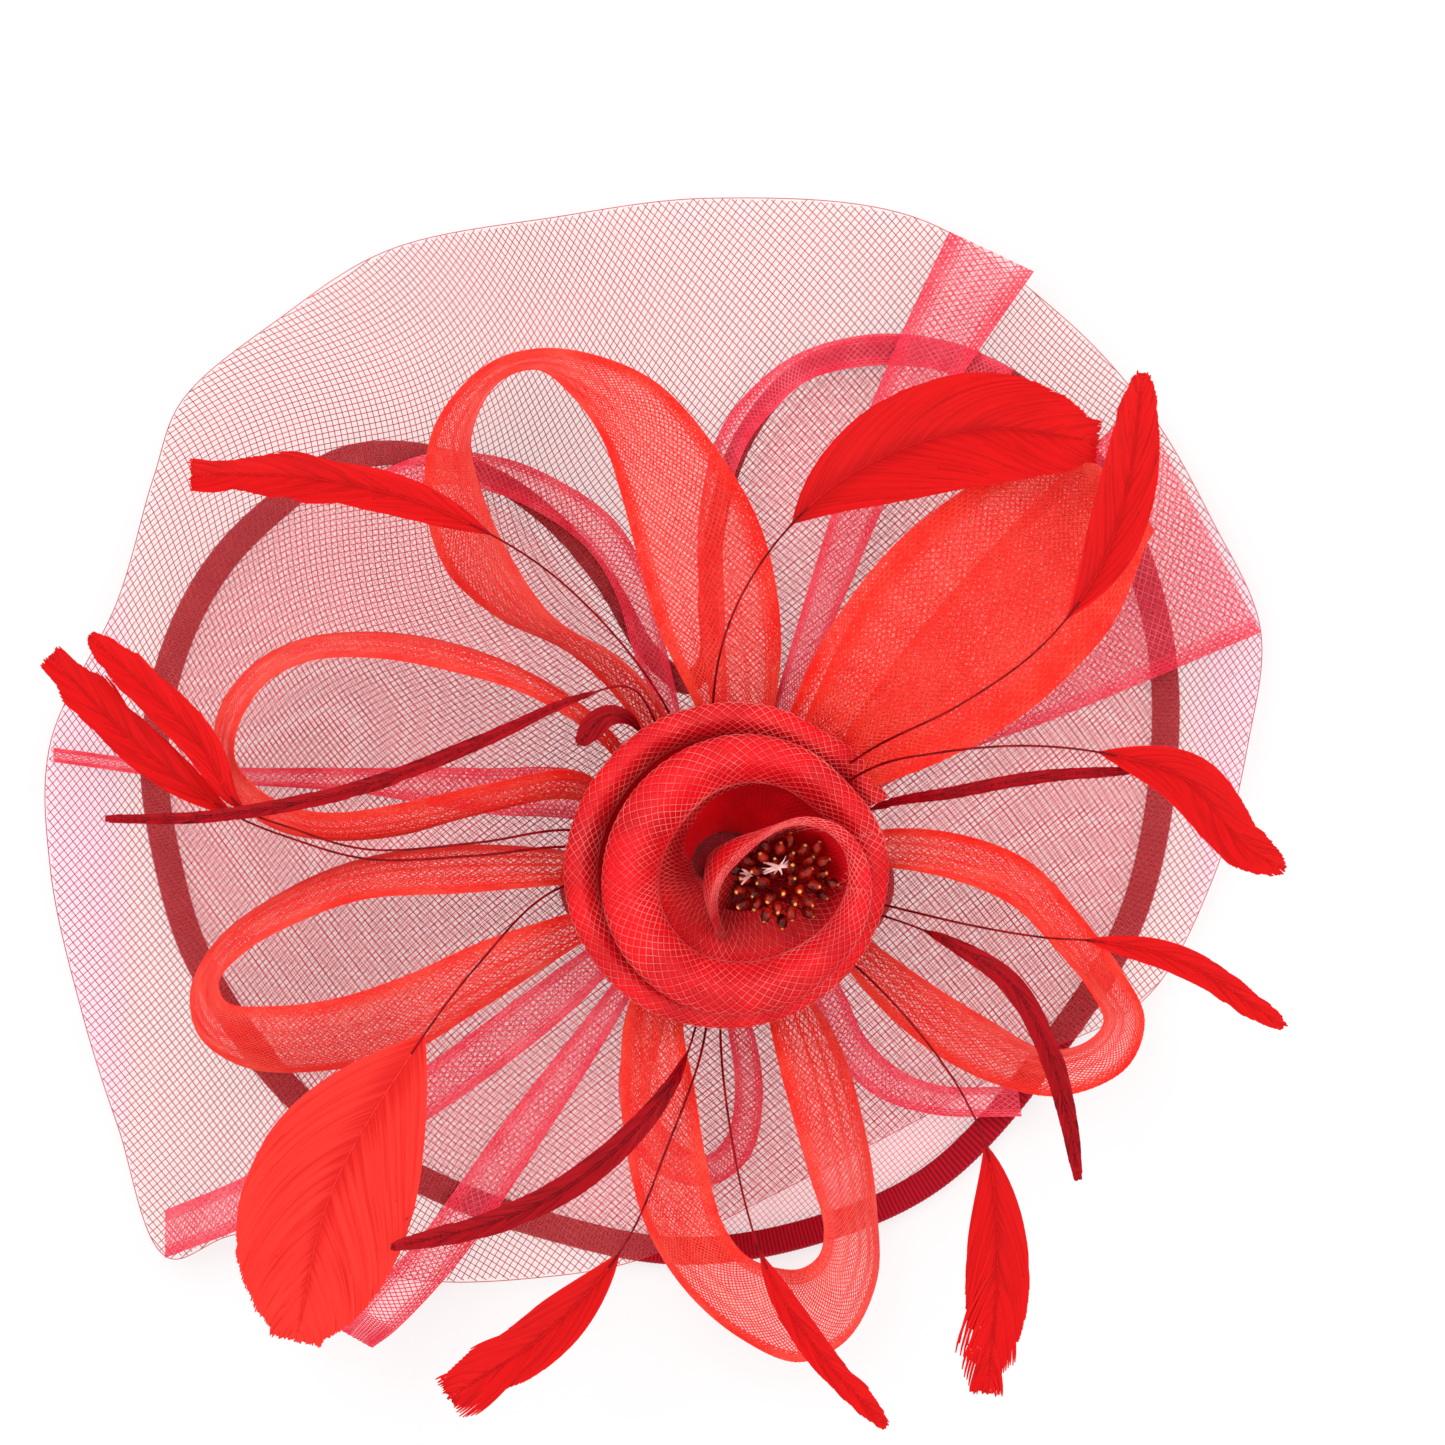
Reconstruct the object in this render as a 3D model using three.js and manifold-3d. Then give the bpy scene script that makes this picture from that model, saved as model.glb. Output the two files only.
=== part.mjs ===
// Flower hair clip: a domed heart-shaped net brim with a bound edge, a net veil over it, crinoline
// loops and tails, a rolled crinoline flower with stamens, feathers, and a sprung clip on a felt pad.
//
// Millimetres, +Z up. The piece lies face up: the bound rim and the clip's finger plate stand on Z = 0,
// and the Z axis runs up through the middle of the flower. The clip lies along X, handles at +X.

import * as THREE from 'three';
import { mergeVertices } from 'three/addons/utils/BufferGeometryUtils.js';
import Module from 'manifold-3d';

const wasm = await Module();
wasm.setup();

// ---------------------------------------------------------------- driving dimensions

const CROWN_HEIGHT = 19;          // middle of the net at the top of the dome
const DOME_SHAPE = [2.4, 1.4];    // powers: how far out the dome stays high, and how soon it levels
const NOTCH_LIFT = 10;            // how far the rim rises at the heart's cleft
const NOTCH_ANGLE = 103;          // degrees, where the cleft points
const NOTCH_SPREAD = 17;          // degrees, half width of the risen part
const NOTCH_FADE = 45;            // the rise dies away over this distance beyond the rim
const NET_THICKNESS = 0.6;
const NET_INSET = 0.8;            // the net's edge inside the middle of its binding
const CLEFT_INSET = 3.8;          // and by so much more where the rim rises to the cleft
const LEVEL_EDGE = 0.955;         // share of the way out where the net turns level
// Shares of the way out where the net's solid has its rings of points.
const NET_ROWS = [[0, 0.04], [1, 0.3], [2, 0.5], [3, 0.68], [4, 0.83], [5, 0.955], [6, 1]];
const RIM_STEPS = 68;

const BINDING_WIDTH = 7;          // folded ribbon round the rim
const BINDING_THICKNESS = 3.2;
const BINDING_WALL = 0.6;
const CLEFT_TRIM = 2;             // the binding is that much narrower round the cleft
const RIM_HEIGHT = BINDING_THICKNESS / 2;
const RIM_WIRE_RADIUS = 0.4;
const RIM_WIRE_OFFSET = 0.6;      // outwards from the middle of the binding

const VEIL_THICKNESS = 0.6;
const VEIL_HUB_RADIUS = 13;       // the veil is gathered round the hub at this radius
const VEIL_WAVES = 9;
const VEIL_WAVE_HEIGHT = 1.8;
const VEIL_FREE = [6, 26];        // the free edge starts and is fully free so far beyond the rim
const LYING_LIFT = 1.9;           // a piece that lies on the veil, over the middle of its net
const UNDER_LOOP_LIFT = 1.6;      // and the under-loops more than that

const RIBBON_THICKNESS = 0.8;     // crinoline ribbon of the loops and tails
const FEATHER_THICKNESS = 0.8;
const STEM_WIDTH = 1.2;
const BLADE_FULLNESS = 0.8;       // under 1 makes the blade's outline rounder
const FEATHER_RISE = [42, 72];    // a feather's own lift comes in between these distances from the hub

const HUB_RADIUS = 10.5;
const HUB_BOTTOM = 20.2;
const HUB_TOP = 32;

const PAD_LENGTH = 84;
const PAD_WIDTH = 50;
const PAD_CENTRE_Y = -4;
const PAD_THICKNESS = 1.8;
const PAD_DROP = 2.3;             // middle of the felt below the middle of the net

const CLIP_TIP = -32;             // X of the jaws' tip and of the handles' end
const CLIP_END = 32;
const CLIP_TOP = 13.7;              // outer face of the fixed leg, under the felt
const LEG_GAUGE = 1;
const LEG_WIDTH = 7.6;
const LOWER_LEG_WIDTH = 6.4;
const PIVOT = new THREE.Vector3(19, 0, 7.9);
const PIN_RADIUS = 1;
const PIN_HOLE_RADIUS = 1.32;
const EAR_RADIUS = 3;
const EAR_GAUGE = 0.9;
const EAR_OUTER = 5;              // half the width over the fixed leg's ears
const SPRING_WIRE_RADIUS = 0.38;
const SPRING_RADIUS = 2.2;
const SPRING_TURNS = 3.5;
const SPRING_PITCH = 1;

// ---------------------------------------------------------------- finishes

const finish = (color, roughness, metalness = 0) => ({ color, roughness, metalness });

const FINISHES = {
  brimNet: finish(0xf0808a, 0.6),
  binding: finish(0xa8121f, 0.7),
  wire: finish(0xb8b8b8, 0.4, 0.8),
  veil: finish(0xf29aa2, 0.6),
  crinoline: finish(0xf03022, 0.45),
  roseCrinoline: finish(0xe85068, 0.5),
  feather: finish(0xdd1716, 0.6),
  darkFeather: finish(0x8c0c16, 0.6),
  stamen: finish(0x7a1206, 0.2),
  felt: finish(0xb01422, 0.95),
  elastic: finish(0x9a1420, 0.8),
  clipMetal: finish(0x232326, 0.4, 0.9),
  rivet: finish(0xb9babd, 0.25, 1),
};

const flowerClip = new THREE.Group();

function addPiece(name, geometry, look) {
  const piece = new THREE.Mesh(geometry, new THREE.MeshStandardMaterial(look));
  piece.name = name;
  flowerClip.add(piece);
}

// ---------------------------------------------------------------- geometry helpers

const radians = THREE.MathUtils.degToRad;
const vector = (x, y, z) => new THREE.Vector3(x, y, z);

/** A smooth curve through points of any number of values; at(t) gives the values, t from 0 to 1. */
function smoothThrough(rows, closed = false) {
  const curves = [];
  for (let k = 0; k < rows[0].length; k += 3) {
    const points = rows.map((row) => vector(row[k], row[k + 1] ?? 0, row[k + 2] ?? 0));
    curves.push(new THREE.CatmullRomCurve3(points, closed, 'centripetal'));
  }
  return (t) => curves.flatMap((curve) => curve.getPoint(t).toArray());
}

/** Straight interpolation in a short list of [position, value] pairs. */
function between(pairs, position) {
  const next = pairs.findIndex(([place]) => place >= position);
  if (next === 0) return pairs[0][1];
  if (next < 0) return pairs[pairs.length - 1][1];
  const [fromPlace, fromValue] = pairs[next - 1];
  const [toPlace, toValue] = pairs[next];
  return THREE.MathUtils.mapLinear(position, fromPlace, toPlace, fromValue, toValue);
}

function closedGeometry(positions, index) {
  let volume = 0;
  const corner = index.map((i) => vector(...positions.slice(3 * i, 3 * i + 3)));
  for (let i = 0; i < corner.length; i += 3) {
    volume += corner[i].dot(corner[i + 1].clone().cross(corner[i + 2]));
  }
  if (volume < 0) index.reverse();
  const geometry = new THREE.BufferGeometry();
  geometry.setAttribute('position', new THREE.Float32BufferAttribute(positions, 3));
  geometry.setIndex(index);
  geometry.computeVertexNormals();
  return geometry;
}

/** A thin closed solid round the surface at(u, v), u and v from 0 to 1; ring joins u = 1 to u = 0. */
function sheetSolid(at, { along, across, thickness, ring = false }) {
  const rows = ring ? along : along + 1;
  const columns = across + 1;
  const step = 1e-3;
  const wrap = (u) => (ring ? (u + 1) % 1 : THREE.MathUtils.clamp(u, 0, 1));
  const upper = [];
  const lower = [];
  for (let i = 0; i < rows; i += 1) {
    for (let j = 0; j < columns; j += 1) {
      const u = i / along;
      const v = j / across;
      const alongU = at(wrap(u + step), v).sub(at(wrap(u - step), v));
      const alongV = at(u, Math.min(v + step, 1)).sub(at(u, Math.max(v - step, 0)));
      const normal = alongU.cross(alongV).normalize().multiplyScalar(thickness / 2);
      upper.push(...at(u, v).add(normal).toArray());
      lower.push(...at(u, v).sub(normal).toArray());
    }
  }
  const count = rows * columns;
  const top = (i, j) => (i % rows) * columns + j;
  const bottom = (i, j) => count + top(i, j);
  const index = [];
  const quad = (a, b, c, d) => index.push(a, b, c, a, c, d);
  for (let i = 0; i < along; i += 1) {
    for (let j = 0; j < across; j += 1) {
      quad(top(i, j), top(i + 1, j), top(i + 1, j + 1), top(i, j + 1));
      quad(bottom(i, j), bottom(i, j + 1), bottom(i + 1, j + 1), bottom(i + 1, j));
    }
    quad(top(i, 0), bottom(i, 0), bottom(i + 1, 0), top(i + 1, 0));
    quad(top(i, across), top(i + 1, across), bottom(i + 1, across), bottom(i, across));
  }
  if (!ring) {
    for (let j = 0; j < across; j += 1) {
      quad(top(0, j), top(0, j + 1), bottom(0, j + 1), bottom(0, j));
      quad(top(along, j), bottom(along, j), bottom(along, j + 1), top(along, j + 1));
    }
  }
  return closedGeometry([...upper, ...lower], index);
}

/** A closed ring: sectionAt's points, [outwards, up], carried round the frames of a closed curve. */
function ringSweep(frameAt, sectionAt, steps) {
  const positions = [];
  const index = [];
  const corners = sectionAt(frameAt(0)).length;
  for (let i = 0; i < steps; i += 1) {
    const frame = frameAt(i / steps);
    for (const [out, up] of sectionAt(frame)) {
      const point = frame.place.clone().addScaledVector(frame.outward, out);
      positions.push(...point.addScaledVector(frame.upward, up).toArray());
    }
  }
  for (let i = 0; i < steps; i += 1) {
    for (let j = 0; j < corners; j += 1) {
      const next = ((i + 1) % steps) * corners;
      const beside = (j + 1) % corners;
      const here = i * corners;
      index.push(here + j, next + j, next + beside, here + j, next + beside, here + beside);
    }
  }
  return closedGeometry(positions, index);
}

function toManifold(geometry) {
  const bare = geometry.clone();
  for (const name of Object.keys(bare.attributes)) {
    if (name !== 'position') bare.deleteAttribute(name);
  }
  const merged = mergeVertices(bare, 1e-4);
  const mesh = new wasm.Mesh({
    numProp: 3,
    vertProperties: Float32Array.from(merged.attributes.position.array),
    triVerts: Uint32Array.from(merged.index.array),
  });
  return new wasm.Manifold(mesh);
}

function fromManifold(solid) {
  const mesh = solid.getMesh();
  const geometry = new THREE.BufferGeometry();
  geometry.setAttribute('position', new THREE.BufferAttribute(mesh.vertProperties, 3));
  geometry.setIndex(new THREE.BufferAttribute(mesh.triVerts, 1));
  geometry.computeVertexNormals();
  return geometry;
}

const joined = (geometries) => geometries.map(toManifold).reduce((all, next) => all.add(next));

/** An outline in X and Z, extruded along Y from one Y to another. */
function plateAlongY(outline, fromY, toY) {
  const shape = new THREE.Shape(outline.map(([x, z]) => new THREE.Vector2(x, z)));
  const geometry = new THREE.ExtrudeGeometry(shape, { depth: toY - fromY, bevelEnabled: false });
  geometry.rotateX(Math.PI / 2);
  geometry.translate(0, toY, 0);
  return geometry;
}

/** An outline in X and Y, extruded upwards. */
function plateUp(outline, fromZ, toZ) {
  const shape = new THREE.Shape(outline.map(([x, y]) => new THREE.Vector2(x, y)));
  const geometry = new THREE.ExtrudeGeometry(shape, { depth: toZ - fromZ, bevelEnabled: false });
  geometry.translate(0, 0, fromZ);
  return geometry;
}

/** A round bar along Y. */
function barAlongY(radius, fromY, toY, at, sides = 20) {
  const geometry = new THREE.CylinderGeometry(radius, radius, toY - fromY, sides);
  geometry.translate(at.x, (fromY + toY) / 2, at.z);
  return geometry;
}

// ---------------------------------------------------------------- the brim's shape

// The heart outline, anticlockwise seen from above, starting at the bottom of the cleft.
const BRIM_OUTLINE = [
  [-10, 45], [-20, 53.5], [-31, 71], [-45, 87], [-60, 97.5], [-79, 103.5], [-97, 102], [-113, 91],
  [-127, 77], [-138, 57], [-144, 30], [-141, 3], [-132, -25], [-106, -60], [-76, -79], [-44, -90.5],
  [-12, -96.5], [20, -92], [52, -78], [82, -45], [102, -12], [110, 28], [108, 62], [93, 99.5],
  [68, 123.5],
  [40, 130], [20, 124.5], [6, 109], [-1, 90], [-4, 68], [-4.5, 52],
];

const brimOutline = smoothThrough(BRIM_OUTLINE.map(([x, y]) => [x, y, 0]), true);

// The outline's reach from the middle in each direction, one degree apart.
const reachByDegree = new Array(361).fill(0);
for (let i = 0; i < 1440; i += 1) {
  const from = brimOutline(i / 1440);
  const to = brimOutline(((i + 1) / 1440) % 1);
  const start = THREE.MathUtils.radToDeg(Math.atan2(from[1], from[0]));
  let turn = THREE.MathUtils.radToDeg(Math.atan2(to[1], to[0])) - start;
  turn -= 360 * Math.round(turn / 360);
  for (let degree = Math.ceil(start); degree <= start + turn; degree += 1) {
    const share = turn ? (degree - start) / turn : 0;
    const x = from[0] + (to[0] - from[0]) * share;
    const y = from[1] + (to[1] - from[1]) * share;
    reachByDegree[(degree + 360) % 360] = Math.hypot(x, y);
  }
}
reachByDegree[360] = reachByDegree[0];

function brimReach(x, y) {
  const degrees = (THREE.MathUtils.radToDeg(Math.atan2(y, x)) + 360) % 360;
  const low = Math.floor(degrees);
  return THREE.MathUtils.lerp(reachByDegree[low], reachByDegree[low + 1], degrees - low);
}

function rimHeight(x, y) {
  let off = THREE.MathUtils.radToDeg(Math.atan2(y, x)) - NOTCH_ANGLE;
  off -= 360 * Math.round(off / 360);
  return RIM_HEIGHT + NOTCH_LIFT * Math.exp(-((off / NOTCH_SPREAD) ** 2));
}

/** Height of the middle of the brim's net for a share of the way out to the rim, with a level edge. */
function domeHeight(share, rim) {
  const fall = Math.max(0, 1 - Math.min(share / LEVEL_EDGE, 1) ** DOME_SHAPE[0]) ** DOME_SHAPE[1];
  return rim + (CROWN_HEIGHT - rim) * fall;
}

/** Height of the net over a point; beyond the rim, the rim's height with the cleft's rise dying away. */
function brimHeight(x, y) {
  const reach = brimReach(x, y);
  const beyond = Math.max(0, Math.hypot(x, y) - reach);
  const rim = RIM_HEIGHT + (rimHeight(x, y) - RIM_HEIGHT) * Math.exp(-beyond / NOTCH_FADE);
  return domeHeight(Math.hypot(x, y) / reach, rim);
}

/** A point of the rim, with its outward direction and its upright, both leaning with the net. */
function rimFrame(t) {
  const nearby = 0.002;
  const reach = BINDING_WIDTH / 2;
  const [x, y] = brimOutline(t);
  const [beforeX, beforeY] = brimOutline((t + 1 - nearby) % 1);
  const [afterX, afterY] = brimOutline((t + nearby) % 1);
  const place = vector(x, y, rimHeight(x, y));
  const level = vector(afterY - beforeY, beforeX - afterX, 0).normalize();
  const inside = brimHeight(x - level.x * reach, y - level.y * reach);
  const outward = level.clone().setZ((place.z - inside) / reach).normalize();
  const upward = vector(-level.x * outward.z, -level.y * outward.z, Math.hypot(outward.x, outward.y));
  return { place, outward, upward };
}

/** 0 along the level rim, 1 once it has risen a quarter of the way to the cleft. */
const risenShare = (frame) => Math.min(1, (4 * (frame.place.z - RIM_HEIGHT)) / NOTCH_LIFT);

function buildBrim() {
  const net = (u, v) => {
    const share = between(NET_ROWS, v * (NET_ROWS.length - 1));
    const frame = rimFrame(u);
    const inset = NET_INSET + CLEFT_INSET * risenShare(frame);
    const edge = frame.place.clone().addScaledVector(frame.outward, -inset);
    const [x, y] = [edge.x * share, edge.y * share];
    return vector(x, y, brimHeight(x, y));
  };
  addPiece('brim_net', sheetSolid(net, {
    along: RIM_STEPS, across: NET_ROWS.length - 1, thickness: NET_THICKNESS, ring: true,
  }), FINISHES.brimNet);

  const half = BINDING_WIDTH / 2;
  const face = BINDING_THICKNESS / 2;
  const slot = face - BINDING_WALL;
  const fold = half - BINDING_WALL;
  const channel = (frame) => {
    const inner = CLEFT_TRIM * risenShare(frame) - half;
    return [
      [inner, -face], [half, -face], [half, face], [inner, face],
      [inner, slot], [fold, slot], [fold, -slot], [inner, -slot],
    ];
  };
  addPiece('brim_binding', ringSweep(rimFrame, channel, RIM_STEPS), FINISHES.binding);

  const round = [];
  const sides = 5;
  for (let k = 0; k < sides; k += 1) {
    const angle = (2 * Math.PI * k) / sides;
    round.push([RIM_WIRE_OFFSET + RIM_WIRE_RADIUS * Math.cos(angle), RIM_WIRE_RADIUS * Math.sin(angle)]);
  }
  addPiece('brim_wire', ringSweep(rimFrame, () => round, RIM_STEPS), FINISHES.wire);
}

// ---------------------------------------------------------------- the veil

const VEIL_OUTLINE = [
  [-3, 168], [-42, 163.5], [-85, 155], [-112, 138], [-137, 117], [-144, 98], [-153, 67], [-170, 31],
  [-170, 0], [-162, -36], [-153, -65], [-140.5, -98], [-122, -92], [-79, -103.5], [-47, -103],
  [-22, -98.5],
  [8, -84], [43, -66], [76, -48], [105, -33], [122, -3], [131, 32], [134, 60], [122, 87], [106, 114.5],
  [83, 139.5], [48, 163],
];

const veilOutline = smoothThrough(VEIL_OUTLINE.map(([x, y]) => [x, y, 0]), true);

// How far the veil lies above the net, by the share of the way out to the rim.
const VEIL_CLEARANCE = [[0, 1.5], [0.6, 2], [0.9, 3], [1.1, 3.2]];

/** How far a point is out in the veil's free edge: 0 over the brim, 1 well beyond it. */
const freeShare = (x, y) => THREE.MathUtils.smoothstep(Math.hypot(x, y) - brimReach(x, y), ...VEIL_FREE);

/** Height of the middle of the veil's waves: on the net, clear of the binding, lifting beyond it. */
function veilHeight(x, y) {
  const clearance = between(VEIL_CLEARANCE, Math.hypot(x, y) / brimReach(x, y));
  return brimHeight(x, y) + clearance + VEIL_WAVE_HEIGHT * 0.8 * freeShare(x, y);
}

/** Height of a piece that lies on the veil, clear of the crests of its waves. */
const overVeil = (x, y) => veilHeight(x, y) + LYING_LIFT + VEIL_WAVE_HEIGHT * freeShare(x, y);

function buildVeil() {
  const veil = (u, v) => {
    const [edgeX, edgeY] = veilOutline(u);
    const reach = Math.hypot(edgeX, edgeY);
    const share = (VEIL_HUB_RADIUS + (reach - VEIL_HUB_RADIUS) * v) / reach;
    const [x, y] = [edgeX * share, edgeY * share];
    const wave = VEIL_WAVE_HEIGHT * freeShare(x, y) * Math.cos(2 * Math.PI * VEIL_WAVES * u);
    return vector(x, y, veilHeight(x, y) + wave);
  };
  addPiece('veil', sheetSolid(veil, {
    along: 64, across: 6, thickness: VEIL_THICKNESS, ring: true,
  }), FINISHES.veil);
}

// ---------------------------------------------------------------- crinoline loops and tails

/** Ribbon from rows of [edge x, y, z, other edge x, y, z]. */
function ribbon(name, rows, { steps, look, thickness = RIBBON_THICKNESS }) {
  const edges = smoothThrough(rows);
  const surface = (u, v) => {
    const [ax, ay, az, bx, by, bz] = edges(u);
    return vector(ax, ay, az).lerp(vector(bx, by, bz), v);
  };
  addPiece(name, sheetSolid(surface, { along: steps, across: 1, thickness }), look);
}

const LOOP_CLEARANCE = 7.5;       // lower edge of a standing loop above the net
const LOOP_ROOT = 24.6;           // height of that edge at the hub
const LOOP_ROOT_SLOPE = 0.02;
// Upper edge of a standing loop by its distance from the middle.
const LOOP_TOP = [[0, 27.4], [20, 27.4], [28, 31], [40, 38.5], [55, 50], [70, 56], [140, 57]];

const loopFoot = (x, y) => Math.max(
  LOOP_ROOT - LOOP_ROOT_SLOPE * Math.hypot(x, y), brimHeight(x, y) + LOOP_CLEARANCE);
const loopTop = (x, y) => between(LOOP_TOP, Math.hypot(x, y));

// Each loop of ribbon stands on its outer edge and leans in to its inner edge.
// Rows: outer edge x, y, inner edge x, y, from one root to the other.
const STANDING_LOOPS = {
  loop_top_left: [
    [-13, 16, -9.5, 18.5], [-24, 38, -15, 38], [-39, 53.5, -25, 51], [-58, 63, -43, 62.5],
    [-70.5, 75, -54, 78],
    [-75.5, 92, -61, 94], [-73, 111, -63.5, 107], [-60, 126, -57, 120.5], [-46.8, 130, -47, 124],
    [-31.8, 128, -38, 117], [-17, 121, -31, 107], [-2, 104, -26.5, 94], [9, 84, -22, 77],
    [13.5, 60, -17, 60],
    [12, 41, -9, 43], [5.5, 20, 2, 20.6],
  ],
  loop_left: [
    [-17.6, 13.6, -18.4, 10.8], [-33, 37, -30, 30], [-52, 50, -49, 43], [-72, 57, -70, 49.5],
    [-90, 59, -89, 52.5], [-107, 57, -104, 51.5], [-119, 50.5, -114.5, 46], [-127, 39.5, -121, 36],
    [-128, 27, -122, 27], [-123, 17, -117, 20.5], [-113, 9.8, -108, 15.5], [-99, 7, -97, 14],
    [-82, 8.2, -80, 16.5],
    [-62, 13.5, -58, 21.5], [-37, 17, -36, 24], [-19.6, 5, -19.6, 8],
  ],
  loop_lower_left: [
    [-20.4, 0.5, -20.4, -2.2], [-42, 4.5, -41, -4], [-70, 5.6, -66, -6], [-94, 1.5, -90, -7.5],
    [-112, -6.5, -106, -13], [-127, -17.5, -119.5, -20.5], [-134, -30, -126, -28], [-132, -42, -124, -33],
    [-120, -50, -114, -34], [-99, -50.5, -97, -32], [-81, -46.8, -80, -26.5], [-62, -35.5, -61, -18],
    [-40, -21, -39, -11], [-19.5, -8, -20, -5],
  ],
  loop_bottom: [
    [-10.5, -17, -7, -18.6], [-24, -33, -11, -37], [-26.5, -52, -8, -55], [-25, -71, -5, -73],
    [-20, -90, -1, -88],
    [-10, -106, 5, -96], [4, -118, 13, -99], [18, -123.6, 18.5, -99], [30, -118, 23, -95.5],
    [37.5, -103, 24, -88],
    [37.5, -86, 20.5, -76], [35, -68, 16.5, -62], [28, -44, 12, -45], [10.5, -17, 7, -18.8],
  ],
  loop_right: [
    [19.8, 3, 20.2, 0], [38, 9.5, 38, 0.5], [58, 8.5, 56, -2.5], [75.8, 1.5, 71, -9],
    [88.5, -12, 81, -19],
    [99, -26, 90, -30], [104.5, -38, 93.5, -38], [100, -50, 88, -43.5], [84, -57, 78, -44.5],
    [67, -54, 66, -38],
    [50, -45, 52, -29.5], [34, -30, 37, -19], [18.6, -8.6, 19.6, -5.6],
  ],
};

// The flat loop, lower layer out, fold, and upper layer back: both edges with their heights.
const FLAT_LOOP = [
  [12.5, 16, 24.4, 16.5, 12, 24.4], [22, 43, 27, 38, 25, 26], [40, 76, 26, 72, 38, 25],
  [62, 96, 25, 97, 66, 23],
  [82, 106, 30, 105, 84, 28], [84, 107.5, 36, 106.5, 84.5, 34], [81, 106, 42, 104.5, 81, 40],
  [63, 97, 48, 96, 61, 46], [43, 82, 50, 76, 40, 48], [27, 62, 46, 55, 27.5, 45],
  [17, 42, 38, 35, 20, 38],
  [10.5, 18.5, 27.6, 15.4, 15, 27.6],
];

// Rose under-loops that lie on the veil. Rows: outer edge x, y, inner edge x, y.
const UNDER_LOOPS = {
  under_loop_top_left: [
    [-93, 97, -88, 90], [-74, 104, -74, 96], [-57, 103, -60, 94.5], [-42, 97, -47, 89],
    [-28, 87, -35, 80],
    [-19.5, 72, -28, 69], [-15, 54, -23, 53], [-11, 36, -16, 37], [-7.5, 18, -10, 16.5],
  ],
  under_loop_top_right: [
    [72, 125, 68, 117.5], [58, 131.5, 56, 124], [38.3, 134, 38, 126], [19, 129.5, 21, 122.5],
    [7, 121, 12.5, 115.5],
    [-2, 109, 5, 106], [-7, 88, -0.5, 88], [-6.5, 62, -0.5, 63], [-4, 40, 0, 40], [-2.5, 19.5, 0.5, 19.5],
  ],
  under_loop_bottom: [
    [-11.5, -15.6, -9.6, -17.4], [-24, -39, -16, -41], [-27, -58, -19, -58], [-19.5, -75, -13, -68.5],
    [-5, -80, -5, -72], [5.5, -73, 0, -67], [9, -58, 2, -56], [7, -42, 0.5, -42],
    [-1.5, -19.6, -4.5, -19.4],
  ],
  under_loop_lower_right: [
    [11, -16, 14, -14], [21, -32, 28, -29], [27, -47, 34.5, -42], [37, -57, 42.5, -50],
    [52, -62, 53, -54.5],
    [74, -62.5, 73, -55],
  ],
};

// Tails with cut ends. Rows: one edge x, y, other edge x, y, and how far they lift off the veil.
const TAILS = {
  tail_top: [
    [5, 19, 8.5, 18, 0], [12, 42, 17, 39, 0.5], [21, 72, 30, 69, 2.5], [30, 100, 43, 98, 4],
    [42, 130, 60, 125, 4], [55.8, 159.5, 77, 149.5, 3],
  ],
  tail_right: [
    [17.5, 10, 18.8, 7, 0], [35, 42, 44, 23, 0], [68, 82, 84, 38, 0.4], [103.5, 117, 134, 59, 1],
  ],
  tail_left: [
    [-19.8, 4, -20.2, 1.6, 0], [-34, 23, -34, 11, 0], [-62, 25, -60, 13.5, 0], [-95, 25, -95, 19, 0],
    [-132, 25.5, -132, 21.5, 0], [-169, 30, -169, 26.5, 0],
  ],
  tail_lower_left: [
    [-18.6, -8.5, -17, -11.2, 0], [-46, -28, -39, -36, 0], [-86, -57, -79, -66, 0],
    [-120, -77, -116, -88, 0],
    [-141, -86, -141, -98, 0],
  ],
  tail_bottom_left: [
    [-15.8, -12.6, -14.2, -14.4, 0], [-34, -36, -28.5, -40, 0], [-56, -64, -46, -68, 0],
    [-78, -94, -66, -97.5, 0], [-93, -110, -83, -116, 1], [-97, -116, -89, -120.5, 1],
  ],
};

/** Ribbon that lies along the veil, from rows of [edge x, y, lift, other edge x, y, lift]. */
function lyingRibbon(name, rows, steps, across) {
  const edges = smoothThrough(rows);
  const surface = (u, v) => {
    const [ax, ay, aLift, bx, by, bLift] = edges(u);
    const place = vector(ax, ay, aLift).lerp(vector(bx, by, bLift), v);
    return place.setZ(overVeil(place.x, place.y) + place.z);
  };
  const body = sheetSolid(surface, { along: steps, across, thickness: RIBBON_THICKNESS });
  addPiece(name, body, FINISHES.roseCrinoline);
}

function buildRibbons() {
  for (const [name, rows] of Object.entries(STANDING_LOOPS)) {
    const edges = rows.map(([ox, oy, ix, iy]) => [ox, oy, loopFoot(ox, oy), ix, iy, loopTop(ix, iy)]);
    ribbon(name, edges, { steps: 32, look: FINISHES.crinoline });
  }
  ribbon('loop_top_right', FLAT_LOOP, { steps: 30, look: FINISHES.crinoline });
  for (const [name, rows] of Object.entries(UNDER_LOOPS)) {
    const edges = rows.map(([ox, oy, ix, iy]) => [ox, oy, UNDER_LOOP_LIFT, ix, iy, UNDER_LOOP_LIFT]);
    lyingRibbon(name, edges, 22, 1);
  }
  for (const [name, rows] of Object.entries(TAILS)) {
    const across = name === 'tail_right' ? 4 : 2;
    lyingRibbon(name, rows.map(([ax, ay, bx, by, lift]) => [ax, ay, lift, bx, by, lift]), 16, across);
  }
}

// ---------------------------------------------------------------- feathers

// Height of a feather's shaft by its distance from the hub: out under the flower, up over the loops.
const SHAFT_HEIGHT = [
  [0, 29.6], [20, 30.2], [30, 34.6], [40, 42.4], [55, 54.5], [70, 60.5], [85, 62.5], [140, 60], [175, 56],
];

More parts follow.
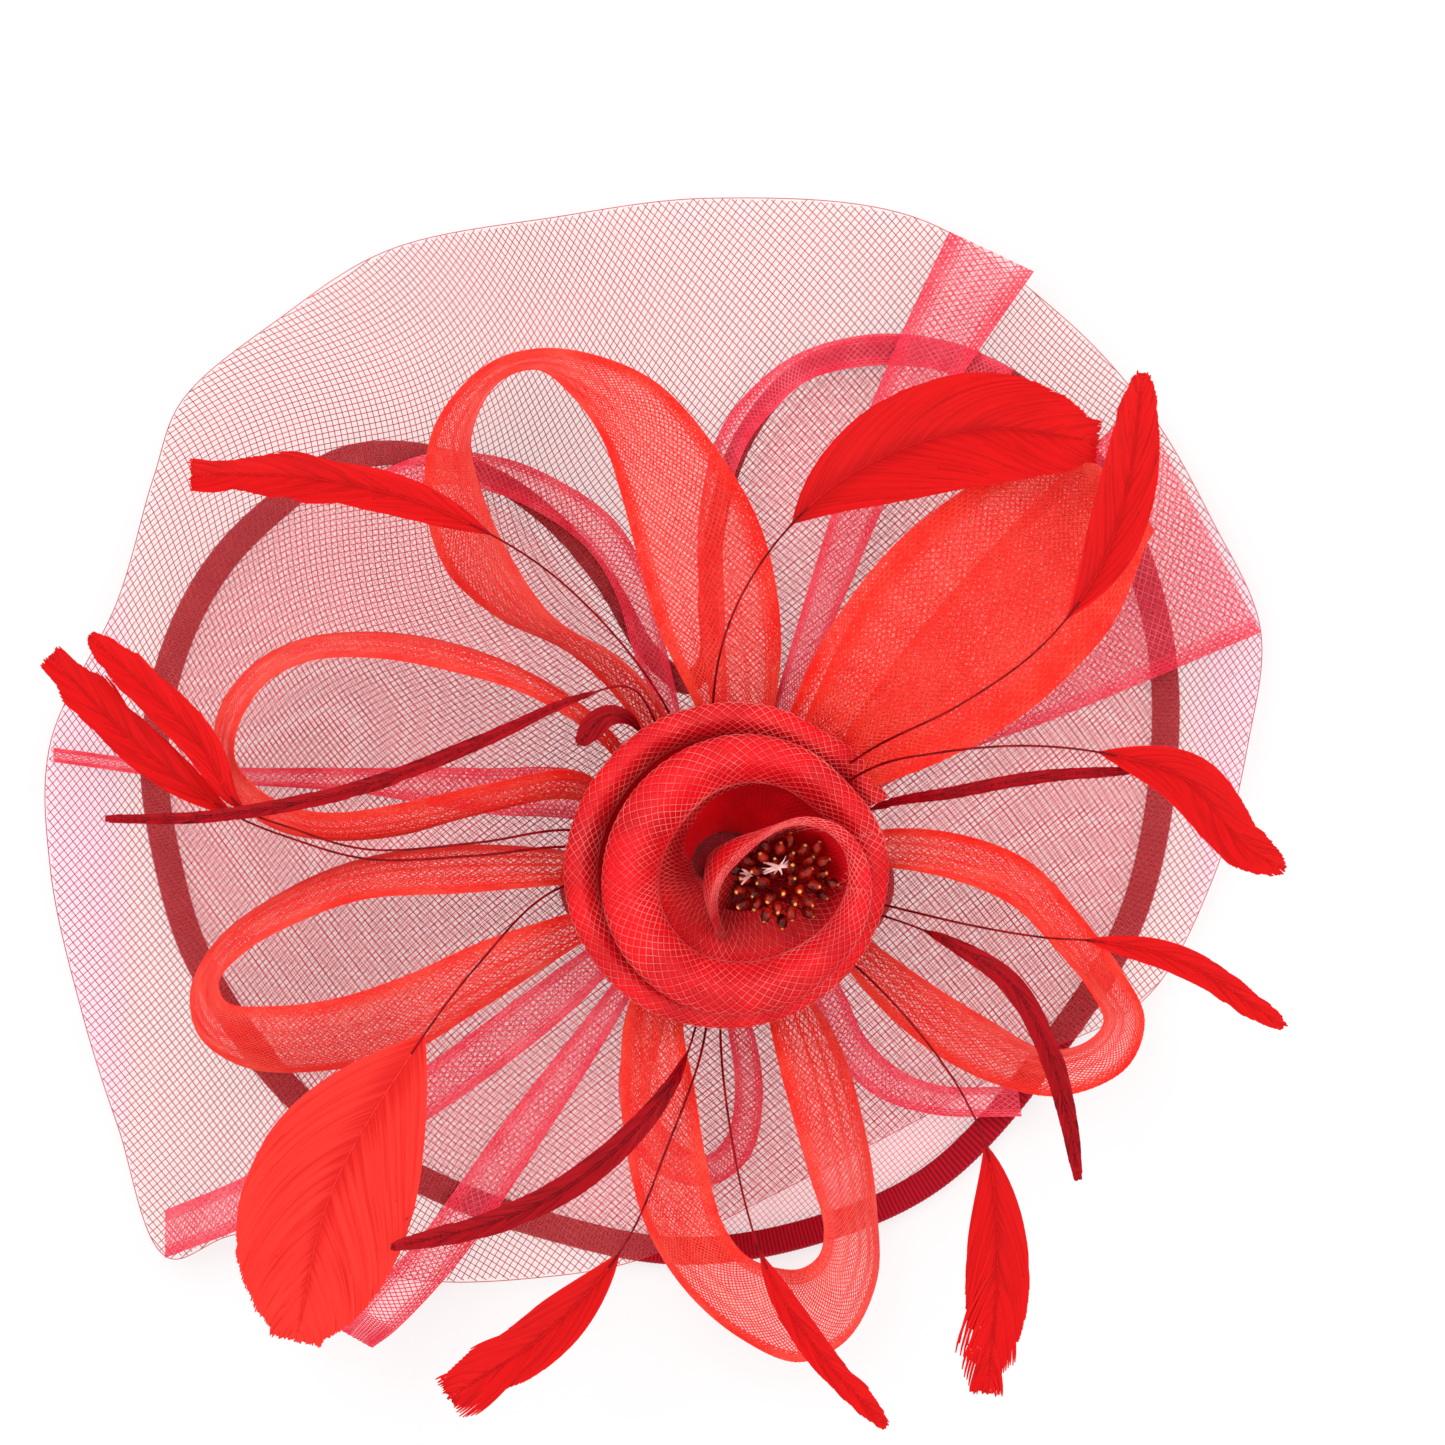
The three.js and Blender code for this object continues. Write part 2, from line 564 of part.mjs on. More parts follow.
// Shaft: x, y from the root to the tip. Blade: share of the length where it starts, its widest, and
// the share of the blade where it is widest. Lift: height over the common shaft height.
const FEATHERS = {
  feather_top_left: {
    shaft: [[-8.4, 10.4], [-14, 38], [-42, 72], [-74, 90], [-104, 97], [-133, 98]],
    blade: [0.56, 11, 0.45], lift: 3,
  },
  feather_left_upper: {
    shaft: [
      [-13.4, 3.2], [-38, 9.6], [-62, 6.6], [-89, 5], [-107, 10], [-121, 16], [-131, 32], [-158, 58],
    ],
    blade: [0.66, 10, 0.55], lift: 3.4,
  },
  feather_left_lower: {
    shaft: [
      [-13.2, 0.4], [-38, 5.4], [-62, 3.4], [-89, 2.6], [-107, 7.4], [-123, 14], [-146, 31], [-168, 53],
    ],
    blade: [0.66, 11, 0.55], lift: 0,
  },
  feather_left_long: {
    shaft: [
      [-10.6, 8.4], [-17.6, 36], [-24, 45], [-37, 42.5], [-59, 32.5], [-84, 22.5], [-104, 17], [-130, 13],
      [-154, 12.5],
    ],
    blade: [0.3, 3.4, 0.35], lift: 6.4, dark: true,
  },
  feather_left_short: {
    shaft: [[-12, 6], [-20, 31], [-24.5, 37.5], [-30, 38], [-37, 31]],
    blade: [0.6, 7.5, 0.45], lift: 0, dark: true,
  },
  feather_lower_left: {
    shaft: [[-13, -3], [-42, -5], [-62, -24], [-79, -47], [-98, -80], [-107, -117]],
    blade: [0.5, 42, 0.6], lift: 0,
  },
  feather_bottom_left: {
    shaft: [[-7.2, -11.2], [-8, -40], [-17, -58], [-37, -77], [-57, -87], [-83, -93.5]],
    blade: [0.3, 6.4, 0.45], lift: 3, dark: true,
  },
  feather_bottom: {
    shaft: [[-4.4, -12.4], [-5.6, -42], [-14.5, -68], [-26, -94], [-45, -115], [-69, -131]],
    blade: [0.62, 14, 0.6], lift: 0,
  },
  feather_bottom_thin: {
    shaft: [[-0.6, -13.2], [-1.6, -42], [0.6, -63], [4.6, -83], [10, -99], [23, -120], [39.5, -138]],
    blade: [0.62, 7, 0.5], lift: 2,
  },
  feather_right_split: {
    shaft: [[10, -8.6], [30, -22.5], [46, -38.5], [58.5, -56], [65, -72], [67, -100], [64.5, -130]],
    blade: [0.58, 16, 0.6], lift: 0,
  },
  feather_right_slender: {
    shaft: [[12, -6], [41, -12.4], [58, -19.6], [71, -29], [80, -46], [84.5, -62], [87, -77]],
    blade: [0.35, 5.4, 0.4], lift: 3.4, dark: true,
  },
  feather_right_lower: {
    shaft: [[13, -3.2], [39, -9], [61, -14], [78, -16.8], [93, -18], [113, -23], [138, -39]],
    blade: [0.6, 7.4, 0.5], lift: 0,
  },
  feather_right_upper: {
    shaft: [[12.2, 6], [35, 24.6], [53, 29], [76, 30.6], [97, 28], [114, 22], [128, 6], [138, 0]],
    blade: [0.62, 14, 0.5], lift: 3,
  },
  feather_right_dark: {
    shaft: [[13.2, 2.6], [38, 15.6], [56, 19], [78, 23], [101, 24.6]],
    blade: [0.3, 3, 0.5], lift: 0, dark: true,
  },
  feather_top_right: {
    shaft: [[-1.4, 13.2], [-3.4, 42], [1, 62], [13, 82], [31, 98], [61, 109], [92, 106]],
    blade: [0.5, 28, 0.6], lift: 2,
  },
  feather_far_right: {
    shaft: [[10, 8.8], [34, 28.6], [58, 41], [78, 55.5], [92, 74], [99, 94], [103, 123]],
    blade: [0.6, 14, 0.5], lift: 6,
  },
};

function buildFeather(name, { shaft, blade, lift, dark = false }) {
  const curve = new THREE.CatmullRomCurve3(shaft.map(([x, y]) => vector(x, y, 0)), false, 'centripetal');
  curve.arcLengthDivisions = 400;
  const [start, widest, peak] = blade;
  const width = (t) => {
    if (t <= start) return STEM_WIDTH;
    const s = (t - start) / (1 - start);
    const beyond = Math.max(0, (s - peak) / (1 - peak));
    const rise = s < peak ? Math.sin((Math.PI / 2) * (s / peak)) : Math.cos((Math.PI / 2) * beyond);
    return STEM_WIDTH + (widest - STEM_WIDTH) * Math.max(0, rise) ** BLADE_FULLNESS;
  };
  const surface = (u, v) => {
    const point = curve.getPointAt(u);
    const tangent = curve.getTangentAt(u);
    const radius = point.length();
    const raised = lift * THREE.MathUtils.smoothstep(radius, ...FEATHER_RISE);
    const side = vector(-tangent.y, tangent.x, 0).multiplyScalar((v - 0.5) * width(u));
    return vector(point.x, point.y, between(SHAFT_HEIGHT, radius) + raised).add(side);
  };
  addPiece(name, sheetSolid(surface, {
    along: 16, across: 1, thickness: FEATHER_THICKNESS,
  }), dark ? FINISHES.darkFeather : FINISHES.feather);
}

// ---------------------------------------------------------------- the flower

// One crinoline tube, flattened and rolled into a spiral from the throat outwards.
// Rows: outer edge x, y, height of the fold, half the fold's width.
const FLOWER_ROLL = [
  [6.7, -17.7, 58, 1], [0.5, -19.5, 59, 1], [-4, -12, 61, 1.1], [-3.8, -4, 63.5, 1.2], [1.5, 4, 66, 1.2],
  [10, 10, 68, 1.3], [19, 13, 69, 1.4], [28, 10.5, 69, 1.6], [33.5, 4, 68, 2], [35.5, -5, 67, 2.8],
  [33, -16, 66, 4], [26, -26, 65, 5.2], [14, -34, 64, 6.2], [0, -36, 64, 6.5], [-13, -32.5, 64, 6.5],
  [-24, -23.5, 64, 6.8], [-30, -12, 65, 7], [-31, -2, 65.5, 7], [-28.5, 10, 65.5, 7], [-21, 22, 65, 7],
  [-8, 31, 64, 6.5], [6, 33.5, 62.5, 6], [20, 29.5, 60, 5.4], [31, 20, 57, 5], [38, 10, 54.5, 4.6],
  [40, -2, 53, 4.2], [36.5, -16, 52.5, 4], [27, -29, 52.5, 4], [14, -37, 52.5, 4], [0, -39.6, 52.5, 4],
  [-15, -37, 52.5, 4], [-28, -29, 52.5, 4], [-37, -16, 52.5, 4], [-40.4, -2, 52.5, 4],
  [-38, 12.5, 52.5, 4],
  [-30, 26.5, 52.5, 4], [-18, 36.5, 52.5, 4], [-3, 41, 52.5, 4], [12, 40, 52, 4], [24, 34, 51.5, 4],
];
const THROAT_ROWS = 9;            // rows before the roll leaves the throat
const INNER_ROWS = 24;            // rows before it passes outside itself
const ROLL_GAP = 0.18;            // rows left open between the three lengths of the roll
const THROAT_CENTRE = vector(13, -3, 0);
const FOOT_RADIUS = [[0, 4.6], [9, 7], [10, 8.6], [23, 9.6], [26, 13.6], [39, 13.8]];
const FOOT_HEIGHT = [[0, 36], [9, 35], [24, 34], [27, 33.2], [39, 33.2]];
const FLANK_PLACE = 0.55;         // share of the way up where the tube bellies out
const FLANK_BELLY = 1.2;
const HEM_DEPTH = [4, 0.6];       // the inner layer hangs down by 4 mm and 0.6 of the fold's half width
const FLOWER_THICKNESS = 0.7;

/** A point of the roll: u along it in rows, v from its foot over the fold and down inside. */
function rollSurface(rollAt, row, v) {
  const [x, y, height, fold] = rollAt(row / (FLOWER_ROLL.length - 1));
  const centre = THROAT_CENTRE.clone().multiplyScalar(1 - Math.min(1, row / THROAT_ROWS));
  const out = vector(x - centre.x, y - centre.y, 0).normalize();
  const foot = out.clone().multiplyScalar(between(FOOT_RADIUS, row)).setZ(between(FOOT_HEIGHT, row));
  const edge = vector(x, y, height - fold);
  const flank = foot.clone().lerp(edge, FLANK_PLACE).addScaledVector(out, FLANK_BELLY);
  const top = edge.clone().addScaledVector(out, -fold).setZ(height);
  const inner = edge.clone().addScaledVector(out, -2 * fold);
  const hem = inner.clone().setZ(inner.z - HEM_DEPTH[0] - fold * HEM_DEPTH[1]);
  const profile = [foot, flank, edge, top, inner, hem];
  const place = v * (profile.length - 1);
  const first = Math.min(Math.floor(place), profile.length - 2);
  return profile[first].clone().lerp(profile[first + 1], place - first);
}

function buildFlower() {
  const rollAt = smoothThrough(FLOWER_ROLL.map((row) => [row[0], row[1], row[2], row[3], 0, 0]));
  const last = FLOWER_ROLL.length - 1;
  const parts = [
    ['flower_throat', 0, THROAT_ROWS, 14],
    ['flower_inner_wrap', THROAT_ROWS + ROLL_GAP, INNER_ROWS, 24],
    ['flower_outer_wrap', INNER_ROWS + ROLL_GAP, last, 24],
  ];
  for (const [name, from, to, steps] of parts) {
    const surface = (u, v) => rollSurface(rollAt, THREE.MathUtils.lerp(from, to, u), v);
    const body = sheetSolid(surface, { along: steps, across: 5, thickness: FLOWER_THICKNESS });
    addPiece(name, body, FINISHES.crinoline);
  }

  const profile = [
    [0, HUB_BOTTOM], [HUB_RADIUS, HUB_BOTTOM], [HUB_RADIUS, HUB_TOP - 2], [HUB_RADIUS - 3, HUB_TOP],
    [0, HUB_TOP],
  ];
  const hub = new THREE.LatheGeometry(profile.map(([r, z]) => new THREE.Vector2(r, z)), 28);
  hub.rotateX(Math.PI / 2);
  addPiece('flower_base', hub, FINISHES.felt);
}

const STAMEN_COUNT = 27;
const STAMEN_HEAD_RADIUS = 1.35;
const FILAMENT_RADIUS = 0.35;
const BUNCH_CENTRE = vector(13.6, -2.6, 61);
const BUNCH_SPREAD = [13, 10.6];
const BUNCH_CROWN = 2.4;          // the outer heads stand lower by this
const BUNCH_UNEVEN = 1.6;
const TIE_TOP = vector(0.6, -0.2, 38.4);
const TIE_SPREAD = 1.7;
const TIE_HEIGHT = 4;
const GOLDEN_TURN = 137.508;

function buildStamens() {
  const tie = new THREE.CylinderGeometry(3, 3.2, TIE_HEIGHT, 12);
  tie.rotateX(Math.PI / 2);
  tie.translate(TIE_TOP.x, TIE_TOP.y, TIE_TOP.z + 1 - TIE_HEIGHT / 2);
  const pieces = [tie];
  for (let k = 0; k < STAMEN_COUNT; k += 1) {
    const share = Math.sqrt((k + 1.2) / (STAMEN_COUNT + 1));
    const angle = radians(GOLDEN_TURN * k);
    const spread = vector(Math.cos(angle), Math.sin(angle), 0).multiplyScalar(share);
    const head = BUNCH_CENTRE.clone();
    head.x += BUNCH_SPREAD[0] * spread.x;
    head.y += BUNCH_SPREAD[1] * spread.y;
    head.z += BUNCH_UNEVEN * Math.sin(5 * k) - BUNCH_CROWN * share;
    const root = TIE_TOP.clone().addScaledVector(spread, TIE_SPREAD);
    const length = root.distanceTo(head);
    const filament = new THREE.CylinderGeometry(FILAMENT_RADIUS, FILAMENT_RADIUS, length, 3);
    filament.translate(0, length / 2, 0);
    const direction = head.clone().sub(root).normalize();
    filament.applyQuaternion(new THREE.Quaternion().setFromUnitVectors(vector(0, 1, 0), direction));
    filament.translate(root.x, root.y, root.z);
    const bead = new THREE.SphereGeometry(STAMEN_HEAD_RADIUS, 5, 4);
    bead.translate(head.x, head.y, head.z);
    pieces.push(filament, bead);
  }
  addPiece('stamens', fromManifold(joined(pieces)), FINISHES.stamen);
}

// ---------------------------------------------------------------- felt pad, headband loops

const PAD_HOLE = 0.06;            // share of the pad left open in the middle
const ELASTIC_WIDTH = 8;
const ELASTIC_GAUGE = 1.2;
const ELASTIC_CENTRES = [-24, 24];
const SLOT_Y = [-22, -11];        // the gap that a headband runs through
const SLOT_FLOOR = 8.2;
const ELASTIC_TOP = 12.7;         // under the felt

function buildPad() {
  const pad = (u, v) => {
    const share = THREE.MathUtils.lerp(PAD_HOLE, 1, v);
    const angle = 2 * Math.PI * u;
    const x = (PAD_LENGTH / 2) * share * Math.cos(angle);
    const y = PAD_CENTRE_Y + (PAD_WIDTH / 2) * share * Math.sin(angle);
    return vector(x, y, brimHeight(x, y) - PAD_DROP);
  };
  const body = sheetSolid(pad, { along: 28, across: 2, thickness: PAD_THICKNESS, ring: true });
  addPiece('back_pad', body, FINISHES.felt);
}

/** An outline in Y and Z, extruded along X from one X to another. */
function plateAlongX(outline, fromX, toX) {
  const shape = new THREE.Shape(outline.map(([y, z]) => new THREE.Vector2(y, z)));
  const geometry = new THREE.ExtrudeGeometry(shape, { depth: toX - fromX, bevelEnabled: false });
  geometry.rotateX(Math.PI / 2);
  geometry.rotateZ(Math.PI / 2);
  geometry.translate(fromX, 0, 0);
  return geometry;
}

// Narrow elastic, sewn to the felt by its turned-out ends, open between for a headband.
function buildHeadbandLoops() {
  const [near, far] = SLOT_Y;
  const gauge = ELASTIC_GAUGE;
  const foot = ELASTIC_TOP - 1;
  const outline = [
    [near - 3, foot], [near - 2, ELASTIC_TOP], [near, ELASTIC_TOP], [near, SLOT_FLOOR], [far, SLOT_FLOOR],
    [far, ELASTIC_TOP], [far + 2, ELASTIC_TOP], [far + gauge, foot], [far + gauge, SLOT_FLOOR - gauge],
    [near - gauge, SLOT_FLOOR - gauge], [near - gauge, foot],
  ];
  ['headband_loop_left', 'headband_loop_right'].forEach((name, k) => {
    const x = ELASTIC_CENTRES[k];
    addPiece(name, plateAlongX(outline, x - ELASTIC_WIDTH / 2, x + ELASTIC_WIDTH / 2), FINISHES.elastic);
  });
}

// ---------------------------------------------------------------- the sprung clip

const pinHole = () => toManifold(barAlongY(PIN_HOLE_RADIUS, -EAR_OUTER - 3, EAR_OUTER + 3, PIVOT));

const TEETH_END = -8;
const TOOTH_COUNT = 6;
const TOOTH_DEPTH = 0.35;
const BITE_GAP = 0.24;            // each jaw's teeth stay so far from the line where they meet
const JAW_CHEEK = 0.7;            // gauge of the moving jaw's ears and toothed edges
const biteLine = (x) => THREE.MathUtils.mapLinear(x, CLIP_TIP, TEETH_END, 11.5, 11.2);

/** Points of a wavy tooth edge from the tip to where the teeth stop, above or below the bite line. */
function teeth(offset) {
  const steps = TOOTH_COUNT * 4;
  const points = [];
  for (let k = 0; k <= steps; k += 1) {
    const x = THREE.MathUtils.lerp(CLIP_TIP + 0.5, TEETH_END, k / steps);
    const wave = Math.sin((2 * Math.PI * TOOTH_COUNT * k) / steps);
    points.push([x, biteLine(x) + offset + TOOTH_DEPTH * wave]);
  }
  return points;
}

/** The two Y ranges of a pair of side plates, from half their overall width and their gauge. */
const bothSides = (half, gauge) => [[-half, gauge - half], [half - gauge, half]];

// The curved lower leg's outer face, X and Z from the handle's end to the tip.
const LOWER_LEG = [[CLIP_END, 0], [22.5, 0], [16, 2.2], [8, 5.8], [-4, 8], [-18, 8.9], [CLIP_TIP, 9.8]];

function buildFixedJaw() {
  const inside = CLIP_TOP - LEG_GAUGE;
  const root = inside + 0.2;
  const half = LEG_WIDTH / 2;
  const earStart = PIVOT.x - EAR_RADIUS - 1;
  const earEnd = PIVOT.x + EAR_RADIUS + 1;
  const oneSide = [
    [CLIP_TIP, half - 1], [CLIP_TIP + 1.5, half], [earStart, half], [earStart, EAR_OUTER],
    [earEnd, EAR_OUTER], [earEnd, half], [CLIP_END - 1.5, half], [CLIP_END, half - 1.5],
  ];
  const otherSide = oneSide.map(([x, y]) => [x, -y]).reverse();
  const pieces = [plateUp([...otherSide, ...oneSide], inside, CLIP_TOP)];

  const round = 0.7 * EAR_RADIUS;
  const ear = [
    [earStart, root], [PIVOT.x - EAR_RADIUS, PIVOT.z], [PIVOT.x - round, PIVOT.z - round],
    [PIVOT.x, PIVOT.z - EAR_RADIUS], [PIVOT.x + round, PIVOT.z - round], [PIVOT.x + EAR_RADIUS, PIVOT.z],
    [earEnd, root],
  ];
  for (const [from, to] of bothSides(EAR_OUTER, EAR_GAUGE)) pieces.push(plateAlongY(ear, from, to));

  const toothedEdge = [...teeth(BITE_GAP), [TEETH_END + 2, root], [CLIP_TIP + 0.5, root]];
  for (const [from, to] of bothSides(LOWER_LEG_WIDTH / 2, EAR_GAUGE)) {
    pieces.push(plateAlongY(toothedEdge, from, to));
  }
  addPiece('clip_fixed_jaw', fromManifold(joined(pieces).subtract(pinHole())), FINISHES.clipMetal);
}

function buildMovingJaw() {
  const outer = smoothThrough(LOWER_LEG.slice(1).map(([x, z]) => [x, z, 0]));
  const lower = [LOWER_LEG[0]];
  const upper = [[CLIP_END, LEG_GAUGE]];
  const steps = 18;
  for (let k = 0; k <= steps; k += 1) {
    const [x, z] = outer(k / steps);
    lower.push([x, k === 0 ? 0 : z]);
    upper.push([x, z + LEG_GAUGE]);
  }
  const half = LOWER_LEG_WIDTH / 2;
  const pieces = [plateAlongY([...lower, ...upper.reverse()], -half, half)];

  const reach = EAR_RADIUS - 0.2;
  const round = 0.7 * reach;
  const ear = [
    [PIVOT.x - 5, 4.6], [PIVOT.x + 1.5, 1.4], [PIVOT.x + 4.4, 0.6], [PIVOT.x + reach, PIVOT.z],
    [PIVOT.x + round, PIVOT.z + 2], [PIVOT.x, PIVOT.z + reach], [PIVOT.x - round, PIVOT.z + 2],
    [PIVOT.x - reach, PIVOT.z],
  ];
  const toothedEdge = [[CLIP_TIP + 0.5, 10.2], ...teeth(-BITE_GAP), [TEETH_END + 2, 8.6], [-18, 9.3]];
  for (const [from, to] of bothSides(half, JAW_CHEEK)) {
    pieces.push(plateAlongY(ear, from, to));
    pieces.push(plateAlongY(toothedEdge, from, to));
  }
  addPiece('clip_moving_jaw', fromManifold(joined(pieces).subtract(pinHole())), FINISHES.clipMetal);
}

function buildPinAndSpring() {
  const head = 1.7;
  const shank = EAR_OUTER + 0.3;
  const profile = [
    [0, -shank - 0.8], [head, -shank - 0.5], [head, -shank], [PIN_RADIUS, -shank], [PIN_RADIUS, shank],
    [head, shank], [head, shank + 0.5], [0, shank + 0.8],
  ];
  const pin = new THREE.LatheGeometry(profile.map(([r, y]) => new THREE.Vector2(r, y)), 16);
  pin.translate(PIVOT.x, 0, PIVOT.z);
  addPiece('clip_pin', pin, FINISHES.rivet);

  const endX = CLIP_END - 4.4;
  const endY = (SPRING_PITCH * SPRING_TURNS) / 2;
  const path = [vector(endX, -endY, CLIP_TOP - LEG_GAUGE - 0.8)];
  const steps = SPRING_TURNS * 12;
  for (let k = 0; k <= steps; k += 1) {
    const turn = k / 12;
    const angle = Math.PI / 2 + 2 * Math.PI * turn;
    path.push(vector(
      PIVOT.x + SPRING_RADIUS * Math.cos(angle),
      SPRING_PITCH * (turn - SPRING_TURNS / 2),
      PIVOT.z + SPRING_RADIUS * Math.sin(angle),
    ));
  }
  path.push(vector(endX, endY, LEG_GAUGE + 0.8));
  const section = new THREE.Shape();
  section.absarc(0, 0, SPRING_WIRE_RADIUS, 0, 2 * Math.PI, false);
  const spring = new THREE.ExtrudeGeometry(section, {
    steps: 52, curveSegments: 3, bevelEnabled: false, extrudePath: new THREE.CatmullRomCurve3(path),
  });
  addPiece('clip_spring', spring, FINISHES.rivet);
}

// A felt strip over the fixed leg, between the jaws, holds the clip to the pad.
function buildClipStrip() {
  const low = CLIP_TOP - LEG_GAUGE - 1.5;
  const outline = [
    [-15, 14.2], [-15, 13.4], [-5.6, 13.2], [-4.6, low], [4.6, low], [5.6, 13.2], [15, 13.4], [15, 14.2],
    [5, 14.1], [4.2, low + 0.9], [-4.2, low + 0.9], [-5, 14.1],
  ];
  addPiece('clip_strip', plateAlongX(outline, -4, 5), FINISHES.felt);
}

// ---------------------------------------------------------------- assembly

buildBrim();
buildVeil();
buildRibbons();
for (const [name, feather] of Object.entries(FEATHERS)) buildFeather(name, feather);
buildFlower();
buildStamens();
buildPad();
buildHeadbandLoops();
buildFixedJaw();
buildMovingJaw();
buildPinAndSpring();
buildClipStrip();

export default flowerClip;
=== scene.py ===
"""Flower hair clip: the looks of a domed net brim with a veil, ribbon loops, a rolled ribbon
flower, feathers and a sprung clip, built as a Blender add-on around the packed model.

The design's points and lengths are in millimetres, as a milliner would note them down.
Every mesh is written in metres, in the frame of the packed model.
"""

import math

import bpy
import numpy as np
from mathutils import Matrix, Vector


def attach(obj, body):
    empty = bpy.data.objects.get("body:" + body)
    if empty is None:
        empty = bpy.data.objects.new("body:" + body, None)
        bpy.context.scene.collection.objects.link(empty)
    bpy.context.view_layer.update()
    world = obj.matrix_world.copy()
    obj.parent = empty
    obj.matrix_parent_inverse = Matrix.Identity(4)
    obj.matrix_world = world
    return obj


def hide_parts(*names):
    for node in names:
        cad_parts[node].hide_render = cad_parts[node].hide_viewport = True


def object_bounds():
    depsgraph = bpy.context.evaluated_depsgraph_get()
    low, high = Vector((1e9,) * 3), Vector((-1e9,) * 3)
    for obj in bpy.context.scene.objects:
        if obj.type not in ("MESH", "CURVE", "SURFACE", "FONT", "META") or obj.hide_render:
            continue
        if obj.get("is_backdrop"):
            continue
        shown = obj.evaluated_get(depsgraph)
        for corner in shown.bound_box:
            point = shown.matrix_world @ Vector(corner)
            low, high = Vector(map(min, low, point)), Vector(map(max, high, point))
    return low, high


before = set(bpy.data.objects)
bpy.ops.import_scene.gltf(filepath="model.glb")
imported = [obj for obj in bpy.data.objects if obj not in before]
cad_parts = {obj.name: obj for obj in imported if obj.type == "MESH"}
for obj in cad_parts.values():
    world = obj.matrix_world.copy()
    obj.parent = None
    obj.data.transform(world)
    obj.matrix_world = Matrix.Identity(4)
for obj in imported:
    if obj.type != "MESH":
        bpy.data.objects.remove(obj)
CAD_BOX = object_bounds()

bl_info = {
    "name": "Flower Hair Clip",
    "version": (1, 0, 0),
    "blender": (4, 5, 0),
    "location": "View3D > Sidebar > Hair Clip",
    "description": "Builds the net, ribbons, flower, feathers and clip of an occasion hair clip",
    "category": "Object",
}

MM = 0.001
HEADPIECE = "headpiece"
MOVING_JAW = "moving_jaw"

# ---------------------------------------------------------------- shapes shared with the solids

CROWN_HEIGHT = 19
DOME_SHAPE = (2.4, 1.4)
LEVEL_EDGE = 0.955
NOTCH_LIFT = 10
NOTCH_ANGLE = 103
NOTCH_SPREAD = 17
NOTCH_FADE = 45
NET_INSET = 0.8
CLEFT_INSET = 3.8
BINDING_WIDTH = 7
BINDING_THICKNESS = 3.2
CLEFT_TRIM = 2
RIM_HEIGHT = BINDING_THICKNESS / 2
HUB_BOTTOM = 20.2
HUB_TOP = 32
VEIL_HUB_RADIUS = 13
VEIL_WAVES = 9
VEIL_WAVE_HEIGHT = 1.8
VEIL_FREE = (6, 26)
LYING_LIFT = 1.9
UNDER_LOOP_LIFT = 1.6
VEIL_CLEARANCE = ((0, 1.5), (0.6, 2), (0.9, 3), (1.1, 3.2))
LOOP_CLEARANCE = 7.5
LOOP_ROOT = 24.6
LOOP_ROOT_SLOPE = 0.02
LOOP_TOP = ((0, 27.4), (20, 27.4), (28, 31), (40, 38.5), (55, 50), (70, 56), (140, 57))
PAD_LENGTH = 84
PAD_WIDTH = 50
PAD_CENTRE_Y = -4
PAD_DROP = 2.3

# The heart outline from the bottom of the cleft, anticlockwise: x, y.
BRIM_OUTLINE = (
    (-10, 45), (-20, 53.5), (-31, 71), (-45, 87), (-60, 97.5), (-79, 103.5), (-97, 102),
    (-113, 91), (-127, 77), (-138, 57), (-144, 30), (-141, 3), (-132, -25), (-106, -60),
    (-76, -79), (-44, -90.5), (-12, -96.5), (20, -92), (52, -78), (82, -45), (102, -12), (110, 28),
    (108, 62), (93, 99.5), (68, 123.5), (40, 130), (20, 124.5), (6, 109), (-1, 90), (-4, 68),
    (-4.5, 52),
)

VEIL_OUTLINE = (
    (-3, 168), (-42, 163.5), (-85, 155), (-112, 138), (-137, 117), (-144, 98), (-153, 67),
    (-170, 31), (-170, 0), (-162, -36), (-153, -65), (-140.5, -98), (-122, -92), (-79, -103.5),
    (-47, -103), (-22, -98.5), (8, -84), (43, -66), (76, -48), (105, -33), (122, -3), (131, 32),
    (134, 60), (122, 87), (106, 114.5), (83, 139.5), (48, 163),
)

